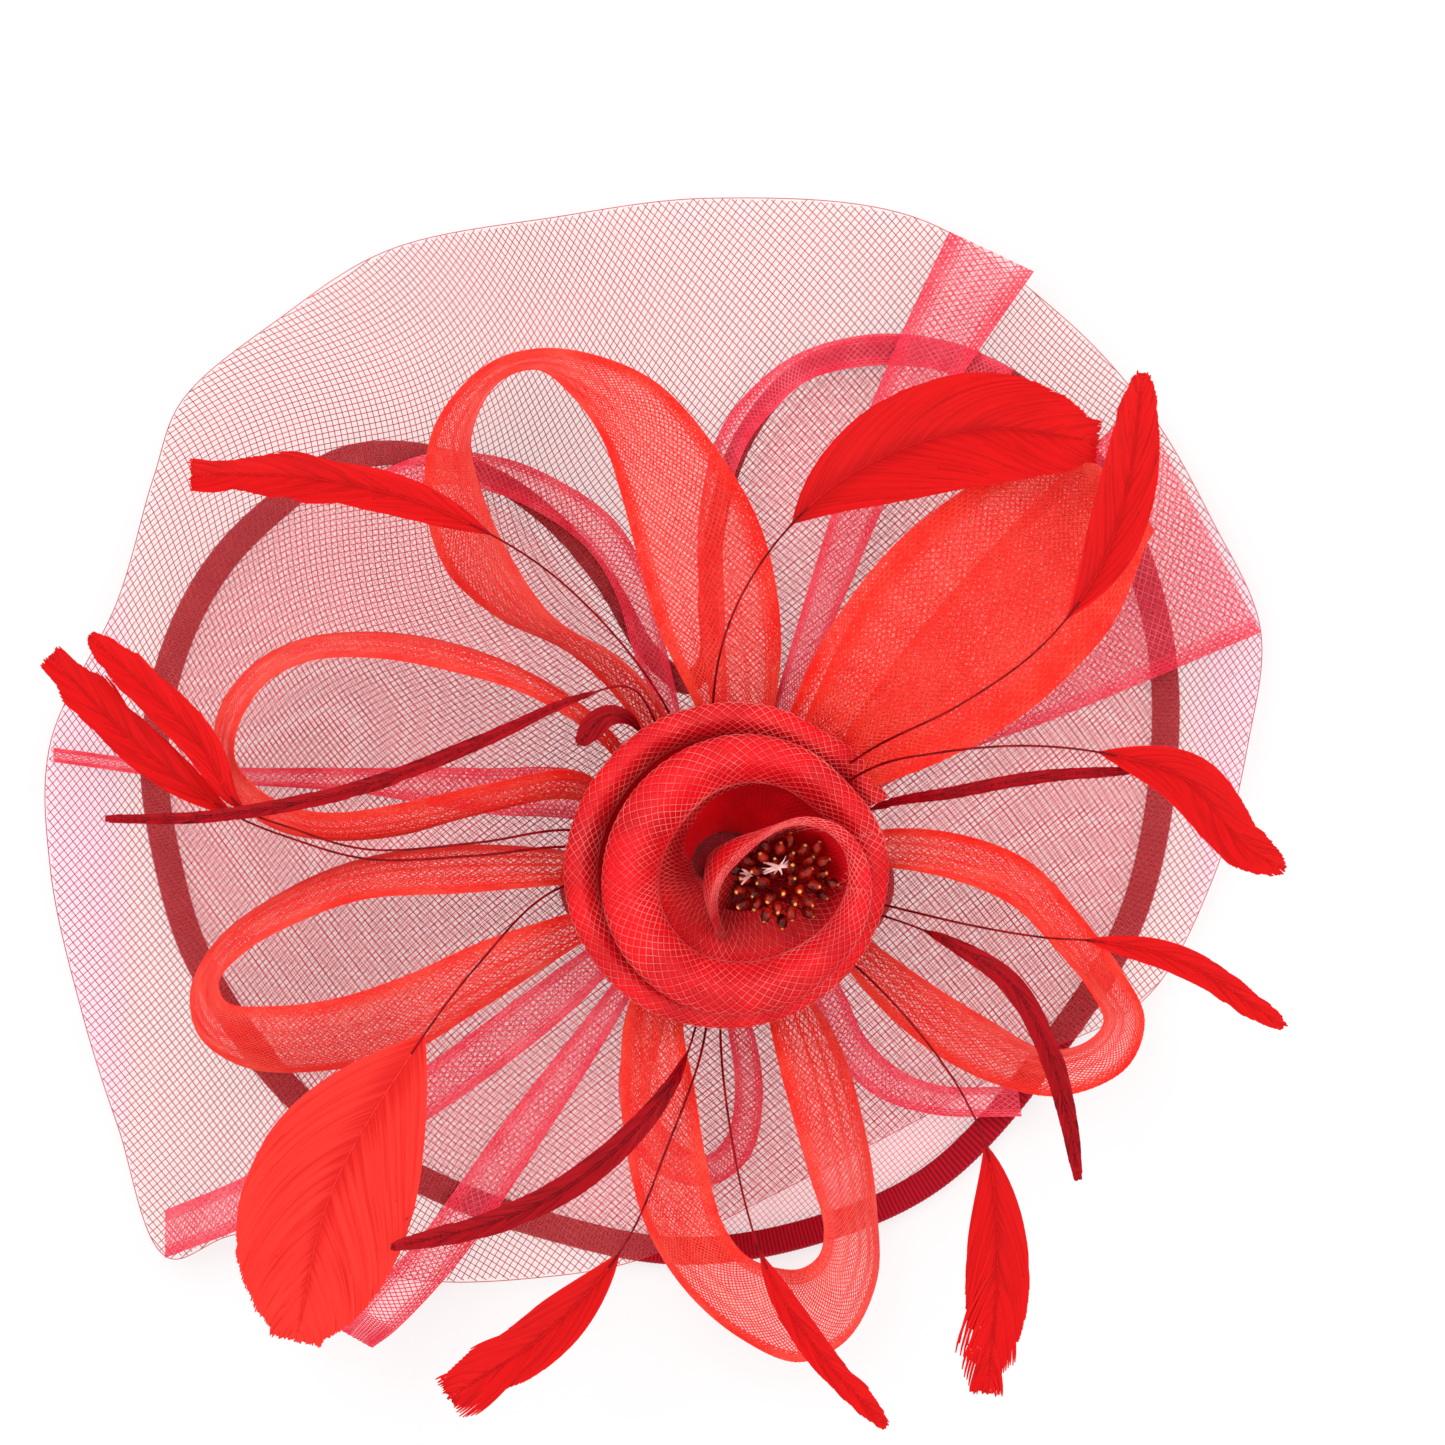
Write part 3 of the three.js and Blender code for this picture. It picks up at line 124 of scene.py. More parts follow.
# Loops that stand on edge. Rows: outer edge x, y, inner edge x, y, from root to root.
STANDING_LOOPS = {
    "loop_top_left": (
        (-13, 16, -9.5, 18.5), (-24, 38, -15, 38), (-39, 53.5, -25, 51), (-58, 63, -43, 62.5),
        (-70.5, 75, -54, 78), (-75.5, 92, -61, 94), (-73, 111, -63.5, 107), (-60, 126, -57, 120.5),
        (-46.8, 130, -47, 124), (-31.8, 128, -38, 117), (-17, 121, -31, 107), (-2, 104, -26.5, 94),
        (9, 84, -22, 77), (13.5, 60, -17, 60), (12, 41, -9, 43), (5.5, 20, 2, 20.6),
    ),
    "loop_left": (
        (-17.6, 13.6, -18.4, 10.8), (-33, 37, -30, 30), (-52, 50, -49, 43), (-72, 57, -70, 49.5),
        (-90, 59, -89, 52.5), (-107, 57, -104, 51.5), (-119, 50.5, -114.5, 46),
        (-127, 39.5, -121, 36), (-128, 27, -122, 27), (-123, 17, -117, 20.5),
        (-113, 9.8, -108, 15.5), (-99, 7, -97, 14), (-82, 8.2, -80, 16.5), (-62, 13.5, -58, 21.5),
        (-37, 17, -36, 24), (-19.6, 5, -19.6, 8),
    ),
    "loop_lower_left": (
        (-20.4, 0.5, -20.4, -2.2), (-42, 4.5, -41, -4), (-70, 5.6, -66, -6), (-94, 1.5, -90, -7.5),
        (-112, -6.5, -106, -13), (-127, -17.5, -119.5, -20.5), (-134, -30, -126, -28),
        (-132, -42, -124, -33), (-120, -50, -114, -34), (-99, -50.5, -97, -32),
        (-81, -46.8, -80, -26.5), (-62, -35.5, -61, -18), (-40, -21, -39, -11),
        (-19.5, -8, -20, -5),
    ),
    "loop_bottom": (
        (-10.5, -17, -7, -18.6), (-24, -33, -11, -37), (-26.5, -52, -8, -55), (-25, -71, -5, -73),
        (-20, -90, -1, -88), (-10, -106, 5, -96), (4, -118, 13, -99), (18, -123.6, 18.5, -99),
        (30, -118, 23, -95.5), (37.5, -103, 24, -88), (37.5, -86, 20.5, -76), (35, -68, 16.5, -62),
        (28, -44, 12, -45), (10.5, -17, 7, -18.8),
    ),
    "loop_right": (
        (19.8, 3, 20.2, 0), (38, 9.5, 38, 0.5), (58, 8.5, 56, -2.5), (75.8, 1.5, 71, -9),
        (88.5, -12, 81, -19), (99, -26, 90, -30), (104.5, -38, 93.5, -38), (100, -50, 88, -43.5),
        (84, -57, 78, -44.5), (67, -54, 66, -38), (50, -45, 52, -29.5), (34, -30, 37, -19),
        (18.6, -8.6, 19.6, -5.6),
    ),
}

# The flat loop, out and back. Rows: one edge x, y, z, other edge x, y, z.
FLAT_LOOP = (
    (12.5, 16, 24.4, 16.5, 12, 24.4), (22, 43, 27, 38, 25, 26), (40, 76, 26, 72, 38, 25),
    (62, 96, 25, 97, 66, 23), (82, 106, 30, 105, 84, 28), (84, 107.5, 36, 106.5, 84.5, 34),
    (81, 106, 42, 104.5, 81, 40), (63, 97, 48, 96, 61, 46), (43, 82, 50, 76, 40, 48),
    (27, 62, 46, 55, 27.5, 45), (17, 42, 38, 35, 20, 38), (10.5, 18.5, 27.6, 15.4, 15, 27.6),
)

# Rose under-loops that lie on the veil. Rows: outer edge x, y, inner edge x, y.
UNDER_LOOPS = {
    "under_loop_top_left": (
        (-93, 97, -88, 90), (-74, 104, -74, 96), (-57, 103, -60, 94.5), (-42, 97, -47, 89),
        (-28, 87, -35, 80), (-19.5, 72, -28, 69), (-15, 54, -23, 53), (-11, 36, -16, 37),
        (-7.5, 18, -10, 16.5),
    ),
    "under_loop_top_right": (
        (72, 125, 68, 117.5), (58, 131.5, 56, 124), (38.3, 134, 38, 126), (19, 129.5, 21, 122.5),
        (7, 121, 12.5, 115.5), (-2, 109, 5, 106), (-7, 88, -0.5, 88), (-6.5, 62, -0.5, 63),
        (-4, 40, 0, 40), (-2.5, 19.5, 0.5, 19.5),
    ),
    "under_loop_bottom": (
        (-11.5, -15.6, -9.6, -17.4), (-24, -39, -16, -41), (-27, -58, -19, -58),
        (-19.5, -75, -13, -68.5), (-5, -80, -5, -72), (5.5, -73, 0, -67), (9, -58, 2, -56),
        (7, -42, 0.5, -42), (-1.5, -19.6, -4.5, -19.4),
    ),
    "under_loop_lower_right": (
        (11, -16, 14, -14), (21, -32, 28, -29), (27, -47, 34.5, -42), (37, -57, 42.5, -50),
        (52, -62, 53, -54.5), (74, -62.5, 73, -55),
    ),
}

# Tails with cut ends. Rows: one edge x, y, other edge x, y, and how far they lift off the veil.
TAILS = {
    "tail_top": (
        (5, 19, 8.5, 18, 0), (12, 42, 17, 39, 0.5), (21, 72, 30, 69, 2.5), (30, 100, 43, 98, 4),
        (42, 130, 60, 125, 4), (55.8, 159.5, 77, 149.5, 3),
    ),
    "tail_right": (
        (17.5, 10, 18.8, 7, 0), (35, 42, 44, 23, 0), (68, 82, 84, 38, 0.4),
        (103.5, 117, 134, 59, 1),
    ),
    "tail_left": (
        (-19.8, 4, -20.2, 1.6, 0), (-34, 23, -34, 11, 0), (-62, 25, -60, 13.5, 0),
        (-95, 25, -95, 19, 0), (-132, 25.5, -132, 21.5, 0), (-169, 30, -169, 26.5, 0),
    ),
    "tail_lower_left": (
        (-18.6, -8.5, -17, -11.2, 0), (-46, -28, -39, -36, 0), (-86, -57, -79, -66, 0),
        (-120, -77, -116, -88, 0), (-141, -86, -141, -98, 0),
    ),
    "tail_bottom_left": (
        (-15.8, -12.6, -14.2, -14.4, 0), (-34, -36, -28.5, -40, 0), (-56, -64, -46, -68, 0),
        (-78, -94, -66, -97.5, 0), (-93, -110, -83, -116, 1), (-97, -116, -89, -120.5, 1),
    ),
}

SHAFT_HEIGHT = (
    (0, 29.6), (20, 30.2), (30, 34.6), (40, 42.4), (55, 54.5), (70, 60.5), (85, 62.5), (140, 60),
    (175, 56),
)

# Feathers: how far it lifts over the common shaft height; where the blade starts, how wide it is and
# where it is widest; the shaft from root to tip, x, y.
FEATHERS = {
    "feather_top_left": (3, (0.56, 11, 0.45), (
        (-8.4, 10.4), (-14, 38), (-42, 72), (-74, 90), (-104, 97), (-133, 98),
    )),
    "feather_left_upper": (3.4, (0.66, 10, 0.55), (
        (-13.4, 3.2), (-38, 9.6), (-62, 6.6), (-89, 5), (-107, 10), (-121, 16), (-131, 32),
        (-158, 58),
    )),
    "feather_left_lower": (0, (0.66, 11, 0.55), (
        (-13.2, 0.4), (-38, 5.4), (-62, 3.4), (-89, 2.6), (-107, 7.4), (-123, 14), (-146, 31),
        (-168, 53),
    )),
    "feather_left_long": (6.4, (0.3, 3.4, 0.35), (
        (-10.6, 8.4), (-17.6, 36), (-24, 45), (-37, 42.5), (-59, 32.5), (-84, 22.5), (-104, 17),
        (-130, 13), (-154, 12.5),
    )),
    "feather_left_short": (0, (0.6, 7.5, 0.45), (
        (-12, 6), (-20, 31), (-24.5, 37.5), (-30, 38), (-37, 31),
    )),
    "feather_lower_left": (0, (0.5, 42, 0.6), (
        (-13, -3), (-42, -5), (-62, -24), (-79, -47), (-98, -80), (-107, -117),
    )),
    "feather_bottom_left": (3, (0.3, 6.4, 0.45), (
        (-7.2, -11.2), (-8, -40), (-17, -58), (-37, -77), (-57, -87), (-83, -93.5),
    )),
    "feather_bottom": (0, (0.62, 14, 0.6), (
        (-4.4, -12.4), (-5.6, -42), (-14.5, -68), (-26, -94), (-45, -115), (-69, -131),
    )),
    "feather_bottom_thin": (2, (0.62, 7, 0.5), (
        (-0.6, -13.2), (-1.6, -42), (0.6, -63), (4.6, -83), (10, -99), (23, -120), (39.5, -138),
    )),
    "feather_right_split": (0, (0.58, 16, 0.6), (
        (10, -8.6), (30, -22.5), (46, -38.5), (58.5, -56), (65, -72), (67, -100), (64.5, -130),
    )),
    "feather_right_slender": (3.4, (0.35, 5.4, 0.4), (
        (12, -6), (41, -12.4), (58, -19.6), (71, -29), (80, -46), (84.5, -62), (87, -77),
    )),
    "feather_right_lower": (0, (0.6, 7.4, 0.5), (
        (13, -3.2), (39, -9), (61, -14), (78, -16.8), (93, -18), (113, -23), (138, -39),
    )),
    "feather_right_upper": (3, (0.62, 14, 0.5), (
        (12.2, 6), (35, 24.6), (53, 29), (76, 30.6), (97, 28), (114, 22), (128, 6), (138, 0),
    )),
    "feather_right_dark": (0, (0.3, 3, 0.5), (
        (13.2, 2.6), (38, 15.6), (56, 19), (78, 23), (101, 24.6),
    )),
    "feather_top_right": (2, (0.5, 28, 0.6), (
        (-1.4, 13.2), (-3.4, 42), (1, 62), (13, 82), (31, 98), (61, 109), (92, 106),
    )),
    "feather_far_right": (6, (0.6, 14, 0.5), (
        (10, 8.8), (34, 28.6), (58, 41), (78, 55.5), (92, 74), (99, 94), (103, 123),
    )),
}
DARK_FEATHERS = (
    "feather_left_long", "feather_left_short", "feather_bottom_left", "feather_right_slender",
    "feather_right_dark",
)

# The flower's roll from the throat outwards: outer edge x, y, height of the fold, half its width.
FLOWER_ROLL = (
    (6.7, -17.7, 58, 1), (0.5, -19.5, 59, 1), (-4, -12, 61, 1.1), (-3.8, -4, 63.5, 1.2),
    (1.5, 4, 66, 1.2), (10, 10, 68, 1.3), (19, 13, 69, 1.4), (28, 10.5, 69, 1.6), (33.5, 4, 68, 2),
    (35.5, -5, 67, 2.8), (33, -16, 66, 4), (26, -26, 65, 5.2), (14, -34, 64, 6.2),
    (0, -36, 64, 6.5), (-13, -32.5, 64, 6.5), (-24, -23.5, 64, 6.8), (-30, -12, 65, 7),
    (-31, -2, 65.5, 7), (-28.5, 10, 65.5, 7), (-21, 22, 65, 7), (-8, 31, 64, 6.5),
    (6, 33.5, 62.5, 6), (20, 29.5, 60, 5.4), (31, 20, 57, 5), (38, 10, 54.5, 4.6),
    (40, -2, 53, 4.2), (36.5, -16, 52.5, 4), (27, -29, 52.5, 4), (14, -37, 52.5, 4),
    (0, -39.6, 52.5, 4), (-15, -37, 52.5, 4), (-28, -29, 52.5, 4), (-37, -16, 52.5, 4),
    (-40.4, -2, 52.5, 4), (-38, 12.5, 52.5, 4), (-30, 26.5, 52.5, 4), (-18, 36.5, 52.5, 4),
    (-3, 41, 52.5, 4), (12, 40, 52, 4), (24, 34, 51.5, 4), (33.5, 27.5, 49.5, 3.6), (40, 17.5, 47, 3),
)
THROAT_ROWS = 9
INNER_ROWS = 24
THROAT_CENTRE = (13, -3)
FOOT_RADIUS = ((0, 4.6), (9, 7), (10, 8.6), (23, 9.6), (26, 13.6), (39, 13.8))
FOOT_HEIGHT = ((0, 36), (9, 35), (24, 34), (27, 33.2), (39, 33.2))
FLANK_PLACE = 0.55
FLANK_BELLY = 1.2
HEM_DEPTH = (4, 0.6)

# ---------------------------------------------------------------- curves and heights


def unit(vectors):
    return vectors / np.maximum(np.linalg.norm(vectors, axis=-1, keepdims=True), 1e-9)


def table_at(pairs, place):
    places, values = zip(*pairs)
    return np.interp(place, places, values)


def smoothstep(value, low, high):
    share = np.clip((value - low) / (high - low), 0, 1)
    return share * share * (3 - 2 * share)


def smooth_through(rows, closed=False):
    """A centripetal curve through rows of values, three at a time; returns at(t), t from 0 to 1."""
    rows = np.array(rows, float)
    while rows.shape[1] % 3:
        rows = np.column_stack([rows, np.zeros(len(rows))])
    count = len(rows)
    ends = [rows[-1:], rows[:2]] if closed else [2 * rows[:1] - rows[1:2], 2 * rows[-1:] - rows[-2:-1]]
    padded = np.concatenate([ends[0], rows, ends[1]])

    def at(t):
        t = np.asarray(t, float)
        place = (t % 1 if closed else np.clip(t, 0, 1)) * (count if closed else count - 1)
        first = np.minimum(place.astype(int), count - 1 if closed else count - 2)
        w = (place - first)[..., None]
        found = []
        for k in range(0, rows.shape[1], 3):
            p = [padded[first + step, k:k + 3] for step in range(4)]
            gap = [np.sum((p[i + 1] - p[i]) ** 2, axis=-1, keepdims=True) ** 0.25 for i in range(3)]
            gap[1] = np.where(gap[1] < 1e-4, 1, gap[1])
            gap[0] = np.where(gap[0] < 1e-4, gap[1], gap[0])
            gap[2] = np.where(gap[2] < 1e-4, gap[1], gap[2])
            chord = (p[2] - p[1]) / gap[1]
            leave = ((p[1] - p[0]) / gap[0] - (p[2] - p[0]) / (gap[0] + gap[1]) + chord) * gap[1]
            arrive = (chord - (p[3] - p[1]) / (gap[1] + gap[2]) + (p[3] - p[2]) / gap[2]) * gap[1]
            square = -3 * p[1] + 3 * p[2] - 2 * leave - arrive
            cube = 2 * p[1] - 2 * p[2] + leave + arrive
            found.append(p[1] + leave * w + square * w ** 2 + cube * w ** 3)
        return np.concatenate(found, axis=-1)

    return at


brim_outline = smooth_through(BRIM_OUTLINE, closed=True)
veil_outline = smooth_through(VEIL_OUTLINE, closed=True)


def reach_of(outline):
    """For a closed outline round the middle: reach(angle) and the outline's own place(angle)."""
    t = np.arange(1440) / 1440
    points = outline(t)
    angle = np.unwrap(np.arctan2(points[:, 1], points[:, 0]))
    radius = np.hypot(points[:, 0], points[:, 1])
    turn = 2 * math.pi
    angle = np.concatenate([angle - turn, angle, angle + turn])
    radius = np.tile(radius, 3)
    place = np.concatenate([t - 1, t, t + 1])
    order = np.argsort(angle)

    def reach(x, y):
        return np.interp(np.arctan2(y, x), angle[order], radius[order])

    def along(x, y):
        return np.interp(np.arctan2(y, x), angle[order], place[order])

    return reach, along


brim_reach = reach_of(brim_outline)[0]
veil_reach, veil_place = reach_of(veil_outline)


def rim_height(x, y):
    off = np.degrees(np.arctan2(y, x)) - NOTCH_ANGLE
    off = off - 360 * np.round(off / 360)
    return RIM_HEIGHT + NOTCH_LIFT * np.exp(-((off / NOTCH_SPREAD) ** 2))


def brim_height(x, y):
    """Height of the middle of the brim's net; beyond the rim the cleft's rise dies away."""
    reach = brim_reach(x, y)
    radius = np.hypot(x, y)
    fade = np.exp(-np.maximum(0, radius - reach) / NOTCH_FADE)
    rim = RIM_HEIGHT + (rim_height(x, y) - RIM_HEIGHT) * fade
    share = np.minimum(radius / reach / LEVEL_EDGE, 1)
    return rim + (CROWN_HEIGHT - rim) * np.maximum(0, 1 - share ** DOME_SHAPE[0]) ** DOME_SHAPE[1]


def free_share(x, y):
    return smoothstep(np.hypot(x, y) - brim_reach(x, y), *VEIL_FREE)


def veil_height(x, y):
    clearance = table_at(VEIL_CLEARANCE, np.hypot(x, y) / brim_reach(x, y))
    return brim_height(x, y) + clearance + VEIL_WAVE_HEIGHT * 0.8 * free_share(x, y)


def waved_veil(x, y):
    """The veil itself, with the soft waves of its free edge."""
    wave = VEIL_WAVE_HEIGHT * free_share(x, y) * np.cos(2 * math.pi * VEIL_WAVES * veil_place(x, y))
    return veil_height(x, y) + wave


def over_veil(x, y):
    return veil_height(x, y) + LYING_LIFT + VEIL_WAVE_HEIGHT * free_share(x, y)


def rim_frames(t):
    """Points of the rim, the outward direction and the upright there, both leaning with the net."""
    nearby = 0.002
    reach = BINDING_WIDTH / 2
    place = brim_outline(t)
    run = brim_outline(t + nearby) - brim_outline(t - nearby)
    level = unit(np.stack([run[..., 1], -run[..., 0], np.zeros_like(run[..., 0])], axis=-1))
    place[..., 2] = rim_height(place[..., 0], place[..., 1])
    inner = place - level * reach
    inside = brim_height(inner[..., 0], inner[..., 1])
    outward = level.copy()
    outward[..., 2] = (place[..., 2] - inside) / reach
    outward = unit(outward)
    flat = np.hypot(outward[..., 0], outward[..., 1])
    upward = np.stack([-level[..., 0] * outward[..., 2], -level[..., 1] * outward[..., 2], flat], axis=-1)
    risen = np.minimum(1, 4 * (place[..., 2] - RIM_HEIGHT) / NOTCH_LIFT)
    return place, outward, upward, risen


# ---------------------------------------------------------------- mesh building


class Form:
    """Points and faces of one piece, gathered part by part, in millimetres."""

    def __init__(self):
        self.points = []
        self.faces = []
        self.finishes = []
        self.cloth = []
        self.count = 0

    def add(self, points, faces, finish=0, cloth=None):
        points = np.asarray(points, float).reshape(-1, 3)
        faces = np.asarray(faces, int)
        self.points.append(points)
        self.faces.append(faces + self.count)
        self.finishes.append(np.full(len(faces), finish))
        cloth = np.zeros((len(points), 2)) if cloth is None else cloth
        self.cloth.append(np.asarray(cloth, float).reshape(-1, 2))
        self.count += len(points)
        return self

    def piece(self, name, finishes, node=None, body=HEADPIECE, slot=None):
        """The finished object, riding on its body and standing for its node."""
        mesh = bpy.data.meshes.new(name)
        points = np.concatenate(self.points) * MM
        corners = np.concatenate([faces.ravel() for faces in self.faces])
        sides = np.concatenate([np.full(len(faces), faces.shape[1]) for faces in self.faces])
        mesh.vertices.add(len(points))
        mesh.vertices.foreach_set("co", points.astype(np.float32).ravel())
        mesh.loops.add(len(corners))
        mesh.loops.foreach_set("vertex_index", corners.astype(np.int32))
        mesh.polygons.add(len(sides))
        starts = np.concatenate([[0], np.cumsum(sides)[:-1]])
        mesh.polygons.foreach_set("loop_start", starts.astype(np.int32))
        mesh.polygons.foreach_set("material_index", np.concatenate(self.finishes).astype(np.int32))
        mesh.polygons.foreach_set("use_smooth", np.full(len(sides), True))
        weave = mesh.uv_layers.new(name="weave")
        weave.data.foreach_set("uv", np.concatenate(self.cloth)[corners].astype(np.float32).ravel())
        mesh.update(calc_edges=True)
        for made in finishes:
            mesh.materials.append(made)
        thing = bpy.data.objects.new(name, mesh)
        bpy.context.scene.collection.objects.link(thing)
        if body:
            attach(thing, body)
        if node:
            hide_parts(node)
        return thing


def grid_faces(rows, columns, ring=False):
    i = np.arange(rows if ring else rows - 1)[:, None]
    j = np.arange(columns - 1)[None, :]
    after = (i + 1) % rows
    corners = [i * columns + j, after * columns + j, after * columns + j + 1, i * columns + j + 1]
    return np.stack(np.broadcast_arrays(*corners), axis=-1).reshape(-1, 4)


def shell_faces(rows, columns, ring=False):
    """Faces of a closed shell of two grids, upper points first."""
    flat = grid_faces(rows, columns, ring)
    size = rows * columns
    faces = [flat, flat[:, ::-1] + size]
    index = np.arange(size).reshape(rows, columns)
    around = np.concatenate([index, index[:1]]) if ring else index
    borders = [around[:, 0], around[::-1, -1]]
    if not ring:
        borders += [index[-1, :], index[0, ::-1]]
    for line in borders:
        a, b = line[:-1], line[1:]
        faces.append(np.stack([b, a, a + size, b + size], axis=-1))
    return np.concatenate(faces)


def grid_normals(points, ring=False):
    along = np.roll(points, -1, 0) - np.roll(points, 1, 0) if ring else np.gradient(points, axis=0)
    return unit(np.cross(along, np.gradient(points, axis=1)))


def area_of(points, ring=False):
    """Area of a grid of points."""
    faces = grid_faces(points.shape[0], points.shape[1], ring)
    corner = points.reshape(-1, 3)[faces]
    diagonals = np.cross(corner[:, 2] - corner[:, 0], corner[:, 3] - corner[:, 1])
    return float(np.linalg.norm(diagonals, axis=1).sum() / 2)


ASIDE = np.array([0.31, 0.17, 0.935])


def tubes(points, strand, radius, sides=3):
    """Open tubes round many lines at once: the points in order, and the line that each belongs to."""
    same = strand[1:] == strand[:-1]
    step = np.where(same[:, None], points[1:] - points[:-1], 0)
    tangent = np.zeros_like(points)
    tangent[1:] += step
    tangent[:-1] += step
    tangent = unit(tangent)
    side = unit(np.cross(tangent, ASIDE))
    up = np.cross(side, tangent)
    turn = 2 * math.pi * np.arange(sides) / sides
    spread = np.cos(turn)[:, None] * side[:, None] + np.sin(turn)[:, None] * up[:, None]
    radius = np.broadcast_to(np.asarray(radius, float), (len(points),))
    ring = points[:, None, :] + radius[:, None, None] * spread
    corner = (np.flatnonzero(same) * sides)[:, None]
    j = np.arange(sides)
    k = (j + 1) % sides
    faces = np.stack([corner + j, corner + k, corner + sides + k, corner + sides + j], axis=-1)
    return ring.reshape(-1, 3), faces.reshape(-1, 4)


def add_lines(form, lines, radius, finish=0, sides=3):
    """Adds tubes round lines, an array of (lines, points, 3) or a list of point arrays."""
    if isinstance(lines, np.ndarray):
        strand = np.repeat(np.arange(lines.shape[0]), lines.shape[1])
        points = lines.reshape(-1, 3)
    else:
        strand = np.concatenate([np.full(len(line), k) for k, line in enumerate(lines)])
        points = np.concatenate(lines)
    ring, faces = tubes(points, strand, radius, sides)
    return form.add(ring, faces, finish)


def bias_lines(surface, length, width, pitch, lean=45, step=2.4):
    """Lines that cross a strip slantwise, both ways: surface(u, v), u along and v across, 0 to 1."""
    run = width / math.tan(math.radians(lean))
    starts = np.arange(-run, length, pitch / math.sin(math.radians(lean)))
    low = np.clip(-starts / run, 0, 1)
    high = np.clip((length - starts) / run, 0, 1)
    whole = high - low > 0.03
    starts, low, high = starts[whole, None], low[whole, None], high[whole, None]
    share = low + (high - low) * np.linspace(0, 1, int(math.hypot(run, width) / step) + 2)
    along = np.clip((starts + run * share) / length, 0, 1)
    return np.concatenate([surface(along, share), surface(along, 1 - share)])


def length_lines(surface, length, width, offsets, step=3):
    """Lines that run along both edges of a strip at these distances from the edge."""
    across = np.array([o / width for o in offsets] + [1 - o / width for o in offsets])[:, None]
    along = np.linspace(0, 1, int(length / step) + 2)[None, :]
    return surface(*np.broadcast_arrays(along, across))


def cloth_lines(inside, height, span, pitch, turn, bend, step=3):
    """Lines of a flat cloth's two thread directions where inside(x, y), laid over height(x, y)."""
    along = np.arange(-span, span, 1.0)
    lines = []
    for angle in (math.radians(turn), math.radians(turn + 90)):
        for offset in np.arange(-span, span, pitch):
            x, y = bend(along * math.cos(angle) - offset * math.sin(angle),
                        along * math.sin(angle) + offset * math.cos(angle))
            there = np.concatenate([[False], inside(x, y), [False]])
            edges = np.flatnonzero(there[1:] != there[:-1])
            for first, last in zip(edges[::2], edges[1::2] - 1):
                if last - first >= 2:
                    pick = np.unique(np.append(np.arange(first, last, step), last))
                    lines.append(np.stack([x[pick], y[pick], height(x[pick], y[pick])], axis=-1))
    return lines


def revolve(profile, steps, along=(0, 0, 1), at=(0, 0, 0)):
    """A lathe form from [radius, height] rows, turned round an axis through a point."""
    axis = unit(np.array(along, float))
    side = unit(np.cross(axis, [0.3, 0.9, 0.1]))
    up = np.cross(axis, side)
    turn = (2 * math.pi * np.arange(steps) / steps)[:, None]
    radius, height = np.array(profile, float).T
    out = np.cos(turn)[..., None] * side + np.sin(turn)[..., None] * up
    points = np.array(at, float) + radius[None, :, None] * out + height[None, :, None] * axis
    return points, grid_faces(steps, len(profile), ring=True)[:, ::-1]


# ---------------------------------------------------------------- finishes


def rgb(red, green, blue):
    """A colour picked on a screen, 0 to 255, as linear light."""
    shares = [value / 255 for value in (red, green, blue)]
    return (*(c / 12.92 if c <= 0.04 else ((c + 0.055) / 1.055) ** 2.4 for c in shares), 1)


class Shade:
    """A number, colour or direction on its way through a material, for shader maths."""

    def __init__(self, finish, socket):
        self.finish = finish
        self.socket = socket

    def maths(self, operation, *others):
        values = dict(enumerate((self, *others)))
        return self.finish.node("ShaderNodeMath", {"operation": operation}, values)

    def __add__(self, other):
        return self.maths("ADD", other)

    def __sub__(self, other):
        return self.maths("SUBTRACT", other)

    def __rsub__(self, other):
        return self.finish.node("ShaderNodeMath", {"operation": "SUBTRACT"}, {0: other, 1: self})

    def __mul__(self, other):
        return self.maths("MULTIPLY", other)

    __radd__ = __add__
    __rmul__ = __mul__

    def above(self, level, blur):
        """0 below a level and 1 above it, with a soft step that wide."""
        return self.finish.node("ShaderNodeMapRange", {"interpolation_type": "SMOOTHSTEP"}, {
            "Value": self, "From Min": level - blur / 2, "From Max": level + blur / 2})

    def ridge(self, pitch):
        """0 to 1 and back, once in each pitch."""
        return self.maths("PINGPONG", pitch / 2) * (2 / pitch)

    def largest(self, other):
        return self.maths("MAXIMUM", other)


